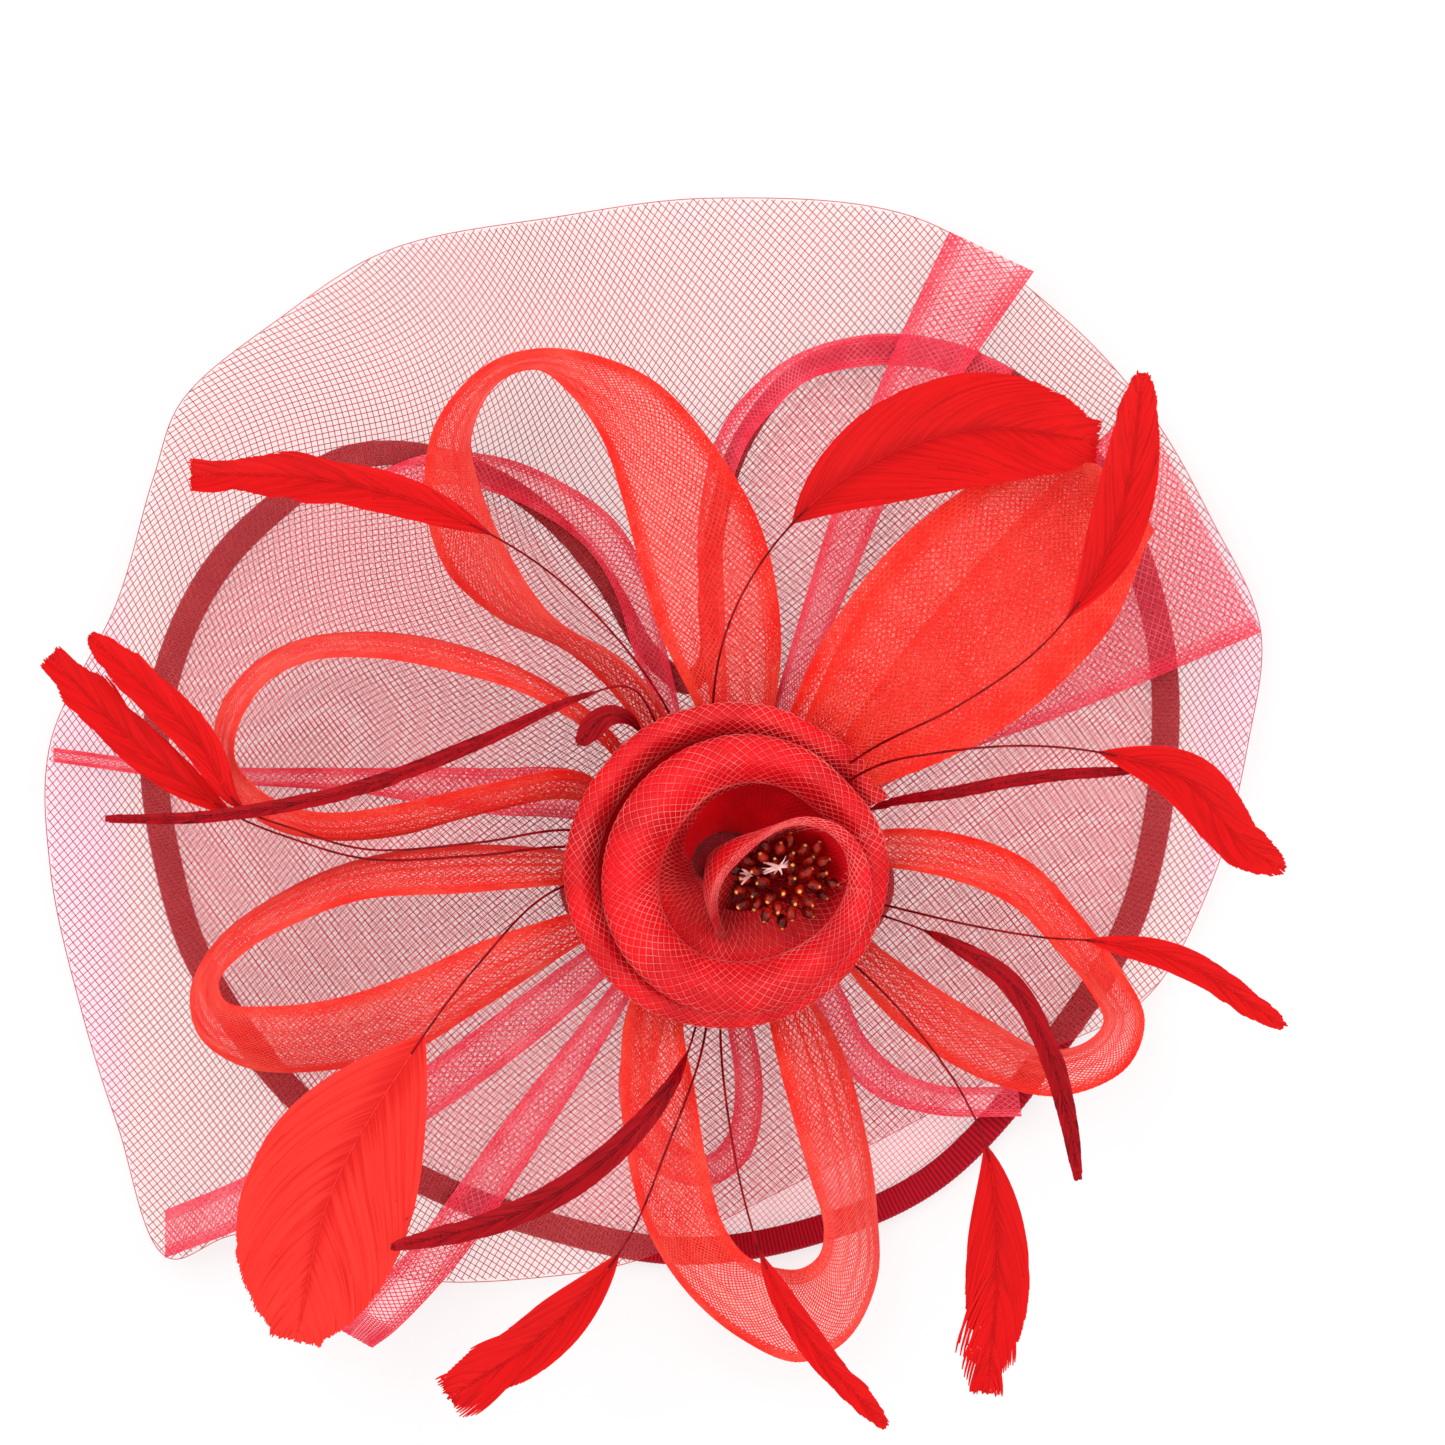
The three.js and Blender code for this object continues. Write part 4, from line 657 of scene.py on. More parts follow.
class Finish:
    """A material, written as expressions."""

    def __init__(self, name):
        self.material = bpy.data.materials.new(name)
        self.material.use_nodes = True
        self.tree = self.material.node_tree
        self.tree.nodes.clear()

    def node(self, kind, settings=None, sockets=None, out=0):
        made = self.tree.nodes.new(kind)
        for name, value in (settings or {}).items():
            setattr(made, name, value)
        for name, value in (sockets or {}).items():
            if isinstance(value, Shade):
                self.tree.links.new(value.socket, made.inputs[name])
            else:
                made.inputs[name].default_value = value
        return Shade(self, made.outputs[out])

    def where(self, kind="Object"):
        return self.node("ShaderNodeTexCoord", out=kind)

    def split(self, vector):
        separate = self.node("ShaderNodeSeparateXYZ", sockets={0: vector})
        outputs = separate.socket.node.outputs
        return [Shade(self, outputs[k]) for k in range(3)]

    def join(self, x, y, z=0.0):
        return self.node("ShaderNodeCombineXYZ", sockets={0: x, 1: y, 2: z})

    def stretched(self, vector, scale):
        return self.node("ShaderNodeVectorMath", {"operation": "MULTIPLY"}, {0: vector, 1: scale})

    def noise(self, vector, scale, detail=3.0, roughness=0.55):
        return self.node("ShaderNodeTexNoise", sockets={
            "Vector": vector, "Scale": scale, "Detail": detail, "Roughness": roughness})

    def mix(self, share, first, second):
        return self.node("ShaderNodeMix", {"data_type": "RGBA"}, {0: share, 6: first, 7: second}, out=2)

    def bump(self, height, distance, strength=1.0):
        return self.node("ShaderNodeBump", sockets={
            "Height": height, "Distance": distance, "Strength": strength})

    def surface(self, **values):
        """Ends the material in one shader; a name's underscores stand for spaces."""
        sockets = {name.replace("_", " "): value for name, value in values.items()}
        shader = self.node("ShaderNodeBsdfPrincipled", sockets=sockets)
        output = self.tree.nodes.new("ShaderNodeOutputMaterial")
        self.tree.links.new(shader.socket, output.inputs["Surface"])
        return self.material


def thread_finish(name, dark, light, roughness=0.38):
    """Round nylon thread: the dye takes unevenly from place to place."""
    finish = Finish(name)
    cloudy = finish.noise(finish.where(), 90.0)
    fine = finish.noise(finish.where(), 900.0, detail=1.0)
    share = (cloudy * 1.6 - 0.55 + (fine - 0.5) * 0.8).above(0.35, 0.9)
    return finish.surface(
        Base_Color=finish.mix(share, dark, light), Roughness=roughness, Specular_IOR_Level=0.22,
        Sheen_Weight=0.05, Sheen_Roughness=0.4)


def ground_finish(name, middle, edge, cover, edge_width=0.6, pitch=0.11, tint=None):
    """The sheer ground between the threads: a fine slanting weave, denser at the selvedge.

    cover is how much it hides in the middle and at the edge, and edge_width is in centimetres.
    """
    finish = Finish(name)
    along, across, _ = finish.split(finish.where("UV"))
    selvedge = 1 - across.above(edge_width * 0.6, edge_width * 0.8)
    threads = (along + across).ridge(pitch).largest((along - across + 400).ridge(pitch))
    open_weave = threads.above(0.55, 0.5)
    uneven = finish.noise(finish.where(), 45.0)
    cover_here = selvedge * (cover[1] - cover[0]) + cover[0]
    hides = cover_here * (open_weave * 0.7 + 0.55) * (uneven * 0.5 + 0.75)
    colour = finish.mix(selvedge, middle, edge)
    if tint:
        x = finish.split(finish.where())[0]
        doubled = (x * -1).above(0.151, 0.012).largest(x.above(0.117, 0.012)) * (uneven * 0.6 + 0.6)
        colour = finish.mix(doubled, colour, tint)
        hides = hides + doubled * 0.16
    return finish.surface(
        Base_Color=colour, Roughness=0.5, Alpha=hides, Specular_IOR_Level=0.15)


def lining_finish(name, deep, bright, line):
    """The close inner layer of the rolled ribbon, whose own threads show as fine pale lines."""
    finish = Finish(name)
    along, across, _ = finish.split(finish.where("UV"))
    threads = (along + across).ridge(0.14).largest((along - across + 400).ridge(0.14))
    lines = threads.above(0.88, 0.1)
    cloudy = finish.noise(finish.where(), 60.0)
    ground = finish.mix(cloudy.above(0.5, 0.5), deep, bright)
    return finish.surface(
        Base_Color=finish.mix(lines * 0.35, ground, line), Roughness=0.48, Specular_IOR_Level=0.2,
        Normal=finish.bump(threads, 0.00012, 0.6))


def grosgrain_finish(name, deep, bright):
    """Ribbed ribbon, with painted shade that makes it darker between the ribs."""
    finish = Finish(name)
    along, across, _ = finish.split(finish.where("UV"))
    rib = along.ridge(0.08)
    yarn = finish.noise(finish.join(along * 6, across * 90), 1.0, detail=2.0)
    # Painted shade: the colour is darker between the ribs and lighter on them; the yarn noise adds uneven
    # dye.
    tone = (rib * 0.55 + yarn * 0.6).above(0.55, 0.7)
    return finish.surface(
        Base_Color=finish.mix(tone, deep, bright), Roughness=0.62 - rib * 0.12, Sheen_Weight=0.03,
        Specular_IOR_Level=0.1, Normal=finish.bump(rib + yarn * 0.5, 0.00015, 0.7))


def felt_finish(name, deep, bright):
    """Matted wool: short fibres lie every way over a soft surface."""
    finish = Finish(name)
    place = finish.where()
    fibres = finish.noise(finish.stretched(place, (1.0, 3.2, 1.0)), 900.0, detail=4.0)
    crossing = finish.noise(finish.stretched(place, (3.4, 1.0, 1.2)), 800.0, detail=4.0)
    tufts = finish.noise(place, 160.0, detail=5.0)
    share = (fibres * 0.5 + crossing * 0.5 + tufts * 0.4).above(0.68, 0.4)
    return finish.surface(
        Base_Color=finish.mix(share, deep, bright), Roughness=0.95, Sheen_Weight=0.6, Sheen_Roughness=0.5,
        Specular_IOR_Level=0.15, Normal=finish.bump(fibres + crossing + tufts, 0.0004, 0.8))


def vane_finish(name, deep, bright, shine):
    """Dyed barbs: each takes the dye a little differently, and it is deepest beside the shaft."""
    finish = Finish(name)
    root, along, _ = finish.split(finish.where("UV"))
    barb = finish.noise(finish.join(root * 26, along * 0.7), 1.0, detail=3.0)
    broad = finish.noise(finish.join(root * 5, along * 1.1), 1.0, detail=2.0)
    beside = 1 - along.above(0.12, 0.24)
    share = (barb * 0.9 + broad * 0.9 - beside * 0.25).above(0.78, 0.5)
    return finish.surface(
        Base_Color=finish.mix(share, deep, bright), Roughness=0.55 - barb * 0.15,
        Specular_IOR_Level=shine, Normal=finish.bump(barb, 0.00015, 0.6))


def quill_finish(name, deep, bright):
    finish = Finish(name)
    grain = finish.noise(finish.where(), 240.0, detail=4.0)
    return finish.surface(
        Base_Color=finish.mix(grain.above(0.5, 0.4), deep, bright), Roughness=0.32 + grain * 0.2,
        Specular_IOR_Level=0.1, Normal=finish.bump(grain, 0.0001, 0.4))


def bead_finish(name, deep, bright, glint):
    """Pearly lacquer on a stamen's head, with a gold highlight painted towards its tip."""
    finish = Finish(name)
    _, tip, _ = finish.split(finish.where("UV"))
    mottled = finish.noise(finish.where(), 500.0, detail=3.0)
    body = finish.mix(mottled.above(0.52, 0.3), deep, bright)
    # Painted highlight: the gold glint towards the tip is painted on, and made a little metallic.
    painted_glint = (tip + (mottled - 0.5) * 0.25).above(0.84, 0.14)
    return finish.surface(
        Base_Color=finish.mix(painted_glint, body, glint), Metallic=painted_glint * 0.4,
        Roughness=0.24 + mottled * 0.14, Specular_IOR_Level=0.14, Coat_Weight=0.12, Coat_Roughness=0.08)


def elastic_finish(name, deep, bright):
    finish = Finish(name)
    along, across, _ = finish.split(finish.where("UV"))
    rib = across.ridge(0.09)
    knit = (along + across).ridge(0.06)
    return finish.surface(
        # Painted shade: the colour is darker in the valleys between the ribs and the knit.
        Base_Color=finish.mix((rib * 0.7 + knit * 0.3).above(0.45, 0.6), deep, bright), Roughness=0.8,
        Sheen_Weight=0.3, Normal=finish.bump(rib + knit * 0.4, 0.0002, 0.7))


def enamel_finish(name, deep, worn):
    """Black enamel on stamped spring steel, rubbed thin in places and lightly scratched."""
    finish = Finish(name)
    place = finish.where()
    drawn = finish.stretched(place, (12.0, 320.0, 140.0))
    scratch = finish.noise(drawn, 6.0, detail=3.0).above(0.66, 0.05)
    rubbed = finish.noise(place, 260.0, detail=5.0).above(0.66, 0.1)
    peel = finish.noise(place, 1500.0, detail=2.0)
    bare = (scratch * 0.5).largest(rubbed * 0.8)
    return finish.surface(
        Base_Color=finish.mix(bare, deep, worn), Metallic=bare * 0.9,
        Roughness=0.34 - bare * 0.08 + peel * 0.1, Coat_Weight=0.4, Coat_Roughness=0.15,
        Normal=finish.bump(peel, 0.00003, 0.5))


def steel_finish(name, dull, bright):
    finish = Finish(name)
    place = finish.where()
    drawn = finish.noise(finish.stretched(place, (30.0, 400.0, 30.0)), 8.0, detail=3.0)
    stain = finish.noise(place, 300.0, detail=4.0)
    return finish.surface(
        Base_Color=finish.mix((drawn * 0.5 + stain * 0.6).above(0.55, 0.4), dull, bright), Metallic=1.0,
        Roughness=0.2 + drawn * 0.2, Normal=finish.bump(drawn, 0.00003, 0.4))


def floor_finish(name, tone, light, backlight):
    """Pale backdrop, lit a little from behind."""
    finish = Finish(name)
    paper = finish.noise(finish.where(), 3.0)
    shade = finish.mix(paper * 0.04, tone, (tone[0] * 0.9, tone[1] * 0.9, tone[2] * 0.9, 1))
    return finish.surface(
        Base_Color=shade, Roughness=0.9, Specular_IOR_Level=0.1, Emission_Color=light,
        Emission_Strength=backlight)


# ---------------------------------------------------------------- what a user may change


def length_value(name, description, millimetres):
    return bpy.props.FloatProperty(
        name=name, description=description, default=millimetres * MM, unit="LENGTH", precision=6)


def colour_value(name, description, *picked):
    return bpy.props.FloatVectorProperty(
        name=name, description=description, default=rgb(*picked), subtype="COLOR", size=4, min=0, max=1)


class NetSettings(bpy.types.PropertyGroup):
    """Threads and colours of the brim's net and the veil."""

    brim_pitch: length_value("Brim pitch", "Distance between the brim net's threads", 1.2)
    brim_thread: length_value("Brim thread", "Radius of the brim net's threads", 0.1)
    veil_pitch: length_value("Veil pitch", "Distance between the veil's threads", 1.52)
    veil_thread: length_value("Veil thread", "Radius of the veil's threads", 0.13)
    brim_colour: colour_value("Brim colour", "Ground of the brim's net", 255, 112, 132)
    veil_colour: colour_value("Veil colour", "Ground of the veil", 255, 150, 150)
    thread_colour: colour_value("Thread colour", "Threads of the veil", 188, 18, 38)
    binding_colour: colour_value("Binding colour", "Ribbed ribbon round the rim", 190, 0, 34)


class RibbonSettings(bpy.types.PropertyGroup):
    """Weave and colours of the crinoline ribbons."""

    pitch: length_value("Pitch", "Distance between a ribbon's slanting threads", 1.08)
    thread: length_value("Thread", "Radius of a ribbon's threads", 0.165)
    lean: bpy.props.FloatProperty(
        name="Lean", description="Slant of the threads to the ribbon's length", default=math.radians(42),
        unit="ROTATION")
    orange_colour: colour_value("Loop colour", "Standing loops", 248, 30, 18)
    rose_colour: colour_value("Rose colour", "Under-loops and tails", 240, 48, 78)


class FlowerSettings(bpy.types.PropertyGroup):
    """The rolled flower and its stamens."""

    pitch: length_value("Pitch", "Distance between the flower's slanting threads", 1.8)
    thread: length_value("Thread", "Radius of the flower's threads", 0.125)
    stamens: bpy.props.IntProperty(
        name="Stamens", description="Heads in the flower's throat", default=38, min=5, max=80)
    lining_colour: colour_value("Lining colour", "Inner layer of the roll", 240, 4, 20)
    thread_colour: colour_value("Thread colour", "Outer threads of the roll", 236, 44, 54)
    bead_colour: colour_value("Head colour", "Lacquer of the stamens' heads", 160, 24, 8)


class FeatherSettings(bpy.types.PropertyGroup):
    """Barbs and colours of the feathers."""

    barb_gap: length_value("Barb gap", "Distance between neighbouring barbs", 0.27)
    bright_colour: colour_value("Bright colour", "The bright feathers", 208, 6, 8)
    pale_colour: colour_value("Pale colour", "The broad feather", 232, 50, 42)
    dark_colour: colour_value("Dark colour", "The dark feathers", 158, 4, 18)


class StageSettings(bpy.types.PropertyGroup):
    """Camera, light and floor."""

    camera_distance: bpy.props.FloatProperty(
        name="Camera distance", description="From the middle of the piece", default=4.0, unit="LENGTH")
    view_width: bpy.props.FloatProperty(
        name="View width", description="Width of the view at the piece", default=0.36125, unit="LENGTH")
    sky: bpy.props.FloatProperty(
        name="Sky", description="Strength of the even light all round", default=1.08)
    backlight: bpy.props.FloatProperty(
        name="Backlight", description="Light that comes up through the pale floor", default=0.68)
    key: bpy.props.FloatProperty(
        name="Key light", description="Power of the large soft light", default=22.0, unit="POWER")


# ---------------------------------------------------------------- ribbons


# The share of a ribbon's length over which its gathers die away, and the step that its run is judged over.
GATHER_REACH = 0.24
NEARBY = 2e-3


def ribbon_surface(rows, bow=0.0, pleat=0.0, pleats=5, rest=None):
    """surface(u, v) of a ribbon between two edges, bowed across, and pleated where it is gathered."""
    edges = smooth_through(rows)

    def surface(u, v):
        u, v = np.broadcast_arrays(np.asarray(u, float), np.asarray(v, float))
        both = edges(u)
        run = edges(np.minimum(u + NEARBY, 1)) - edges(np.maximum(u - NEARBY, 0))
        across = both[..., 3:6] - both[..., :3]
        normal = unit(np.cross(run[..., :3] + run[..., 3:6], across))
        gathered = 1 - smoothstep(np.minimum(u, 1 - u), 0, GATHER_REACH)
        swell = np.sin(math.pi * v)
        push = bow * swell + pleat * (0.25 + gathered) * swell * np.sin(2 * math.pi * pleats * v + 7 * u)
        points = both[..., :3] + across * v[..., None] + normal * push[..., None]
        if rest is not None:
            points[..., 2] += rest(points[..., 0], points[..., 1])
        return points

    return surface


def sizes_of(surface):
    """Length along the middle and mean width of a strip."""
    points = surface(np.linspace(0, 1, 120)[:, None], np.linspace(0, 1, 15)[None, :])
    middle = points[:, 7]
    length = float(np.linalg.norm(np.diff(middle, axis=0), axis=1).sum())
    return length, area_of(points) / length


def ground_form(surface, length, width, step=2.4, columns=15):
    rows = int(length / step) + 2
    u = np.linspace(0, 1, rows)[:, None]
    v = np.linspace(0, 1, columns)[None, :]
    cloth = np.stack(np.broadcast_arrays(u * length / 10, np.minimum(v, 1 - v) * width / 10), axis=-1)
    return Form().add(surface(u, v), grid_faces(rows, columns), cloth=cloth)


SELVEDGE = (0.15, 0.6, 1.1, 1.7, 2.4, 3.2, 4.1)
# A ribbon cut narrower than this tapers, so its flat width is given as this and its area as it is.
NARROWEST = 10


def make_ribbon(node, surface, finishes, slot, weave, edge_threads=len(SELVEDGE)):
    """A woven ribbon: the sheer ground and its round threads, made as two pieces."""
    ground, thread = finishes
    pitch, radius, lean = weave
    length, width = sizes_of(surface)
    cloth = ground_form(surface, length, width).piece(node + "_ground", [ground], node, slot=slot)
    form = Form()
    add_lines(form, bias_lines(surface, length, width, pitch, lean), radius)
    inside = [offset for offset in SELVEDGE[:edge_threads] if offset < width * 0.3]
    add_lines(form, length_lines(surface, length, width, inside), radius * 1.1)
    threads = form.piece(node + "_threads", [thread], node, slot=slot)
    max(width, NARROWEST) * MM


def loop_foot(x, y):
    return np.maximum(LOOP_ROOT - LOOP_ROOT_SLOPE * np.hypot(x, y), brim_height(x, y) + LOOP_CLEARANCE)


class HAIRCLIP_OT_standing_loops(bpy.types.Operator):
    """Five loops of crinoline ribbon that stand on edge, and the flat one"""

    bl_idname = "hairclip.standing_loops"
    bl_label = "Standing loops"

    def execute(self, context):
        settings = context.scene.hairclip_ribbon
        orange = tuple(settings.orange_colour)
        finishes = (
            ground_finish("loop_ground", rgb(252, 50, 36), orange, (0.44, 0.86)),
            thread_finish("loop_thread", orange, rgb(255, 84, 66)),
        )
        weave = (settings.pitch / MM, settings.thread / MM, math.degrees(settings.lean))
        for node, rows in STANDING_LOOPS.items():
            rows = np.array(rows, float)
            outer, inner = rows[:, :2], rows[:, 2:]
            foot = loop_foot(outer[:, 0], outer[:, 1])
            top = table_at(LOOP_TOP, np.hypot(inner[:, 0], inner[:, 1]))
            surface = ribbon_surface(np.column_stack([outer, foot, inner, top]), bow=1.6, pleat=0.7)
            make_ribbon(node, surface, finishes, "crinoline", weave)
        surface = ribbon_surface(FLAT_LOOP, bow=1.2, pleat=1.5)
        make_ribbon("loop_top_right", surface, finishes, "crinoline", weave)
        return {"FINISHED"}


class HAIRCLIP_OT_under_ribbons(bpy.types.Operator):
    """Rose under-loops and the tails with cut ends, which lie on the veil"""

    bl_idname = "hairclip.under_ribbons"
    bl_label = "Under-loops and tails"

    def execute(self, context):
        settings = context.scene.hairclip_ribbon
        rose = tuple(settings.rose_colour)
        finishes = (
            ground_finish("rose_ground", rgb(255, 84, 108), rose, (0.3, 0.66), edge_width=0.3),
            thread_finish("rose_thread", rose, rgb(255, 108, 124)),
        )
        weave = (settings.pitch / MM, settings.thread * 0.9 / MM, math.degrees(settings.lean))
        for node, rows in UNDER_LOOPS.items():
            lifted = [(ox, oy, UNDER_LOOP_LIFT, ix, iy, UNDER_LOOP_LIFT) for ox, oy, ix, iy in rows]
            surface = ribbon_surface(lifted, pleat=0.15, pleats=2, rest=over_veil)
            make_ribbon(node, surface, finishes, "rose_crinoline", weave, 4)
        for node, rows in TAILS.items():
            lifted = [(ax, ay, lift, bx, by, lift) for ax, ay, bx, by, lift in rows]
            surface = ribbon_surface(lifted, pleat=0.3, pleats=3, rest=over_veil)
            make_ribbon(node, surface, finishes, "rose_crinoline", weave, 5)
        return {"FINISHED"}


# ---------------------------------------------------------------- brim and veil

# The two nets: points round the edge, flat size, share of the worn area that the cloth has flat,
# how far the threads run from the middle, and their turn in degrees.
BRIM_ROWS = 300
BRIM_SHARE = 0.97
BRIM_SPAN = 190
BRIM_TURN = 38
VEIL_ROWS = 360
VEIL_SHARE = 0.98
VEIL_SPAN = 210
VEIL_TURN = 43
BINDING_FACE_INSET = 0.12
FOLD_RADIUS = 0.9
RIB_PITCH = 0.8
RIB_HEIGHT = 0.07


def make_net(node, points, finishes, lines, radius, share):
    """An open net: the sheer ground and its round threads, made as two pieces."""
    form = Form().add(points, grid_faces(*points.shape[:2], ring=True), cloth=points[..., :2] / 10)
    cloth = form.piece(node + "_ground", [finishes[0]], node, slot=node)
    threads = add_lines(Form(), lines, radius).piece(node + "_threads", [finishes[1]], node, slot=node)
    area_of(points, ring=True) * MM * MM * share


class HAIRCLIP_OT_brim_net(bpy.types.Operator):
    """The domed net of the brim"""

    bl_idname = "hairclip.brim_net"
    bl_label = "Brim net"

    def execute(self, context):
        settings = context.scene.hairclip_net
        rows, shares = BRIM_ROWS, np.linspace(0.02, 1, 34)
        place, outward, _, risen = rim_frames(np.arange(rows) / rows)
        edge = place - outward * (NET_INSET + CLEFT_INSET * risen)[:, None]
        x = edge[:, :1] * shares
        y = edge[:, 1:2] * shares
        points = np.stack([x, y, brim_height(x, y)], axis=-1)
        colour = tuple(settings.brim_colour)
        finishes = (
            ground_finish("brim_ground", colour, colour, (0.13, 0.13), pitch=0.08),
            thread_finish("brim_thread", rgb(250, 62, 92), rgb(255, 120, 138)),
        )

        def inside(x, y):
            return np.hypot(x, y) < brim_reach(x, y) - 2 * NET_INSET

        def bend(x, y):
            return x + 3 * np.sin(y / 60), y + 3 * np.sin(x / 70)

        lines = cloth_lines(inside, brim_height, BRIM_SPAN, settings.brim_pitch / MM, BRIM_TURN, bend)
        make_net("brim_net", points, finishes, lines, settings.brim_thread / MM, BRIM_SHARE)
        return {"FINISHED"}


class HAIRCLIP_OT_binding(bpy.types.Operator):
    """The ribbed ribbon folded over the rim, and the wire inside it"""

    bl_idname = "hairclip.binding"
    bl_label = "Rim binding"

    def execute(self, context):
        colour = tuple(context.scene.hairclip_net.binding_colour)
        length = float(np.linalg.norm(np.diff(brim_outline(np.arange(721) / 720), axis=0), axis=1).sum())
        rows = 2 * int(length / RIB_PITCH)
        place, outward, upward, risen = rim_frames(np.arange(rows) / rows)
        half, face = BINDING_WIDTH / 2, BINDING_THICKNESS / 2 - BINDING_FACE_INSET
        turn = np.linspace(math.pi / 2, -math.pi / 2, 7)
        profile = [(-half, face * 0.86), (-half * 0.3, face), (half * 0.3, face)]
        profile += [(half - FOLD_RADIUS + FOLD_RADIUS * math.cos(a), face * math.sin(a)) for a in turn]
        profile += [(half * 0.3, -face), (-half * 0.3, -face), (-half, -face * 0.86)]
        out, up = np.array(profile).T
        normal = unit(np.stack([-np.gradient(up), np.gradient(out)], axis=-1))
        rib = RIB_HEIGHT * np.where(np.arange(rows) % 2, 1, -1)[:, None]
        out = out[None, :] + rib * normal[None, :, 0]
        up = up[None, :] + rib * normal[None, :, 1]
        trim = (CLEFT_TRIM * risen)[:, None] * smoothstep(-out, -half, half)
        points = place[:, None] + outward[:, None] * (out + trim)[..., None]
        points = points + upward[:, None] * up[..., None]
        along = np.arange(rows)[:, None] / rows * length / 10
        across = np.linspace(0, 1.7, len(profile))[None, :]
        cloth = np.stack(np.broadcast_arrays(along, across), axis=-1)
        # The darker colour is the painted shade between the ribs, and also the yarn's uneven dye.
        finish = grosgrain_finish("grosgrain", rgb(110, 4, 18), colour)
        ribbon = Form().add(points, grid_faces(rows, len(profile), ring=True), cloth=cloth).piece(
            "binding_ribbon", [finish], "brim_binding", slot="binding")
        area_of(points, ring=True) / length * MM
        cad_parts["brim_wire"].material_slots[0].material = steel_finish(
            "rim_wire", rgb(120, 122, 126), rgb(190, 192, 196))
        return {"FINISHED"}


# Where the gathers pull the veil's net round: place, turn in degrees and reach.
VEIL_TWISTS = (((-88, 92), -38, 66), ((92, 96), 16, 60), ((-70, -92), 14, 52))


class HAIRCLIP_OT_veil(bpy.types.Operator):
    """The open diamond net veil over the brim"""

    bl_idname = "hairclip.veil"
    bl_label = "Veil"

    def execute(self, context):
        settings = context.scene.hairclip_net
        rows, shares = VEIL_ROWS, np.linspace(0, 1, 44)
        edge = veil_outline(np.arange(rows) / rows)
        radius = np.hypot(edge[:, :1], edge[:, 1:2])
        share = (VEIL_HUB_RADIUS + (radius - VEIL_HUB_RADIUS) * shares) / radius
        x, y = edge[:, :1] * share, edge[:, 1:2] * share
        points = np.stack([x, y, waved_veil(x, y)], axis=-1)
        colour = tuple(settings.veil_colour)
        finishes = (
            ground_finish("veil_ground", colour, colour, (0.12, 0.12), pitch=0.1, tint=rgb(247, 176, 226)),
            thread_finish("veil_thread", tuple(settings.thread_colour), rgb(214, 58, 62)),
        )

        def inside(x, y):
            radius = np.hypot(x, y)
            return (radius < veil_reach(x, y)) & (radius > VEIL_HUB_RADIUS)

        def bend(x, y):
            x = x + 8 * np.sin((y - 20) / 62) + 3 * np.sin(x / 31)
            y = y + 7 * np.sin((x + 20) / 66)
            for place, turn, size in VEIL_TWISTS:
                dx, dy = x - place[0], y - place[1]
                angle = math.radians(turn) * np.exp(-(dx ** 2 + dy ** 2) / size ** 2)
                x = place[0] + dx * np.cos(angle) - dy * np.sin(angle)
                y = place[1] + dx * np.sin(angle) + dy * np.cos(angle)
            return x, y

        lines = cloth_lines(inside, waved_veil, VEIL_SPAN, settings.veil_pitch / MM, VEIL_TURN, bend)
        lines.append(points[np.append(np.arange(rows), 0), -1])
        make_net("veil", points, finishes, lines, settings.veil_thread / MM, VEIL_SHARE)
        return {"FINISHED"}


# ---------------------------------------------------------------- feathers

FEATHER_RISE = (42, 72)
SHAFT_OVER_BARBS = 0.12
SHAFT_RADIUS = (0.36, 0.27, 0.2, 0.06)
STEM_WIDTH = 1.2
BLADE_FULLNESS = 0.8
TIP_FULLNESS = 0.5
BARB_POINTS = 12
BARB_OVERLAP = 1.35
BARB_TILT = 0.22
BARB_CURL = 0.07
BARB_SETBACK = 0.16
# A barb's angle to the shaft in degrees: at no width, more for each millimetre of it, and its limits.
BARB_LEAN = (8, 0.42, 9, 25)


class Shaft:
    """A feather's shaft, by the share of its length."""

    def __init__(self, points, lift):
        curve = smooth_through([(x, y, 0) for x, y in points])(np.linspace(0, 1, 600))
        length = np.append(0, np.cumsum(np.linalg.norm(np.diff(curve, axis=0), axis=1)))
        self.length = length[-1]
        self.share = length / self.length
        self.curve = curve
        self.lift = lift

    def at(self, t):
        x = np.interp(t, self.share, self.curve[:, 0])
        y = np.interp(t, self.share, self.curve[:, 1])
        run = self.curve[-1] - self.curve[-4]
        past = np.maximum(t - 1, 0) * self.length / np.linalg.norm(run)
        x = x + run[0] * past
        y = y + run[1] * past
        radius = np.hypot(x, y)
        z = table_at(SHAFT_HEIGHT, radius) + self.lift * smoothstep(radius, *FEATHER_RISE)
        return np.stack([x, y, z], axis=-1)

    def side(self, t):
        run = self.at(np.minimum(t + 0.01, 1)) - self.at(np.minimum(t, 0.99))
        run[..., 2] = 0
        run = unit(run)
        return np.stack([-run[..., 1], run[..., 0], np.zeros_like(run[..., 0])], axis=-1)


def blade_half(t, blade, blunt):
    """Half the blade's width at a share of the shaft: it narrows to a stem and rounds off to its tip."""
    start, widest, peak = blade
    share = np.clip((t - start) / (1 - start), 0, 1)
    turn = np.where(share < peak, share / peak, 1 + (share - peak) / (1 - peak))
    fullness = np.where(share < peak, BLADE_FULLNESS, TIP_FULLNESS)
    rise = np.maximum(np.sin(turn * math.pi / 2), 0) ** fullness
    rise = np.where(share < peak, rise, np.maximum(rise, blunt))
    return (STEM_WIDTH + (widest - STEM_WIDTH) * rise) / 2


def barb_reach(root, slope, blade, blunt, length):
    """Share of the shaft at which barbs that leave it at root meet the blade's outline."""
    low, high = root.copy(), np.ones_like(root)
    for _ in range(26):
        middle = (low + high) / 2
        past = (middle - root) * length * slope > blade_half(middle, blade, blunt)
        high = np.where(past, middle, high)
        low = np.where(past, low, middle)
    return high


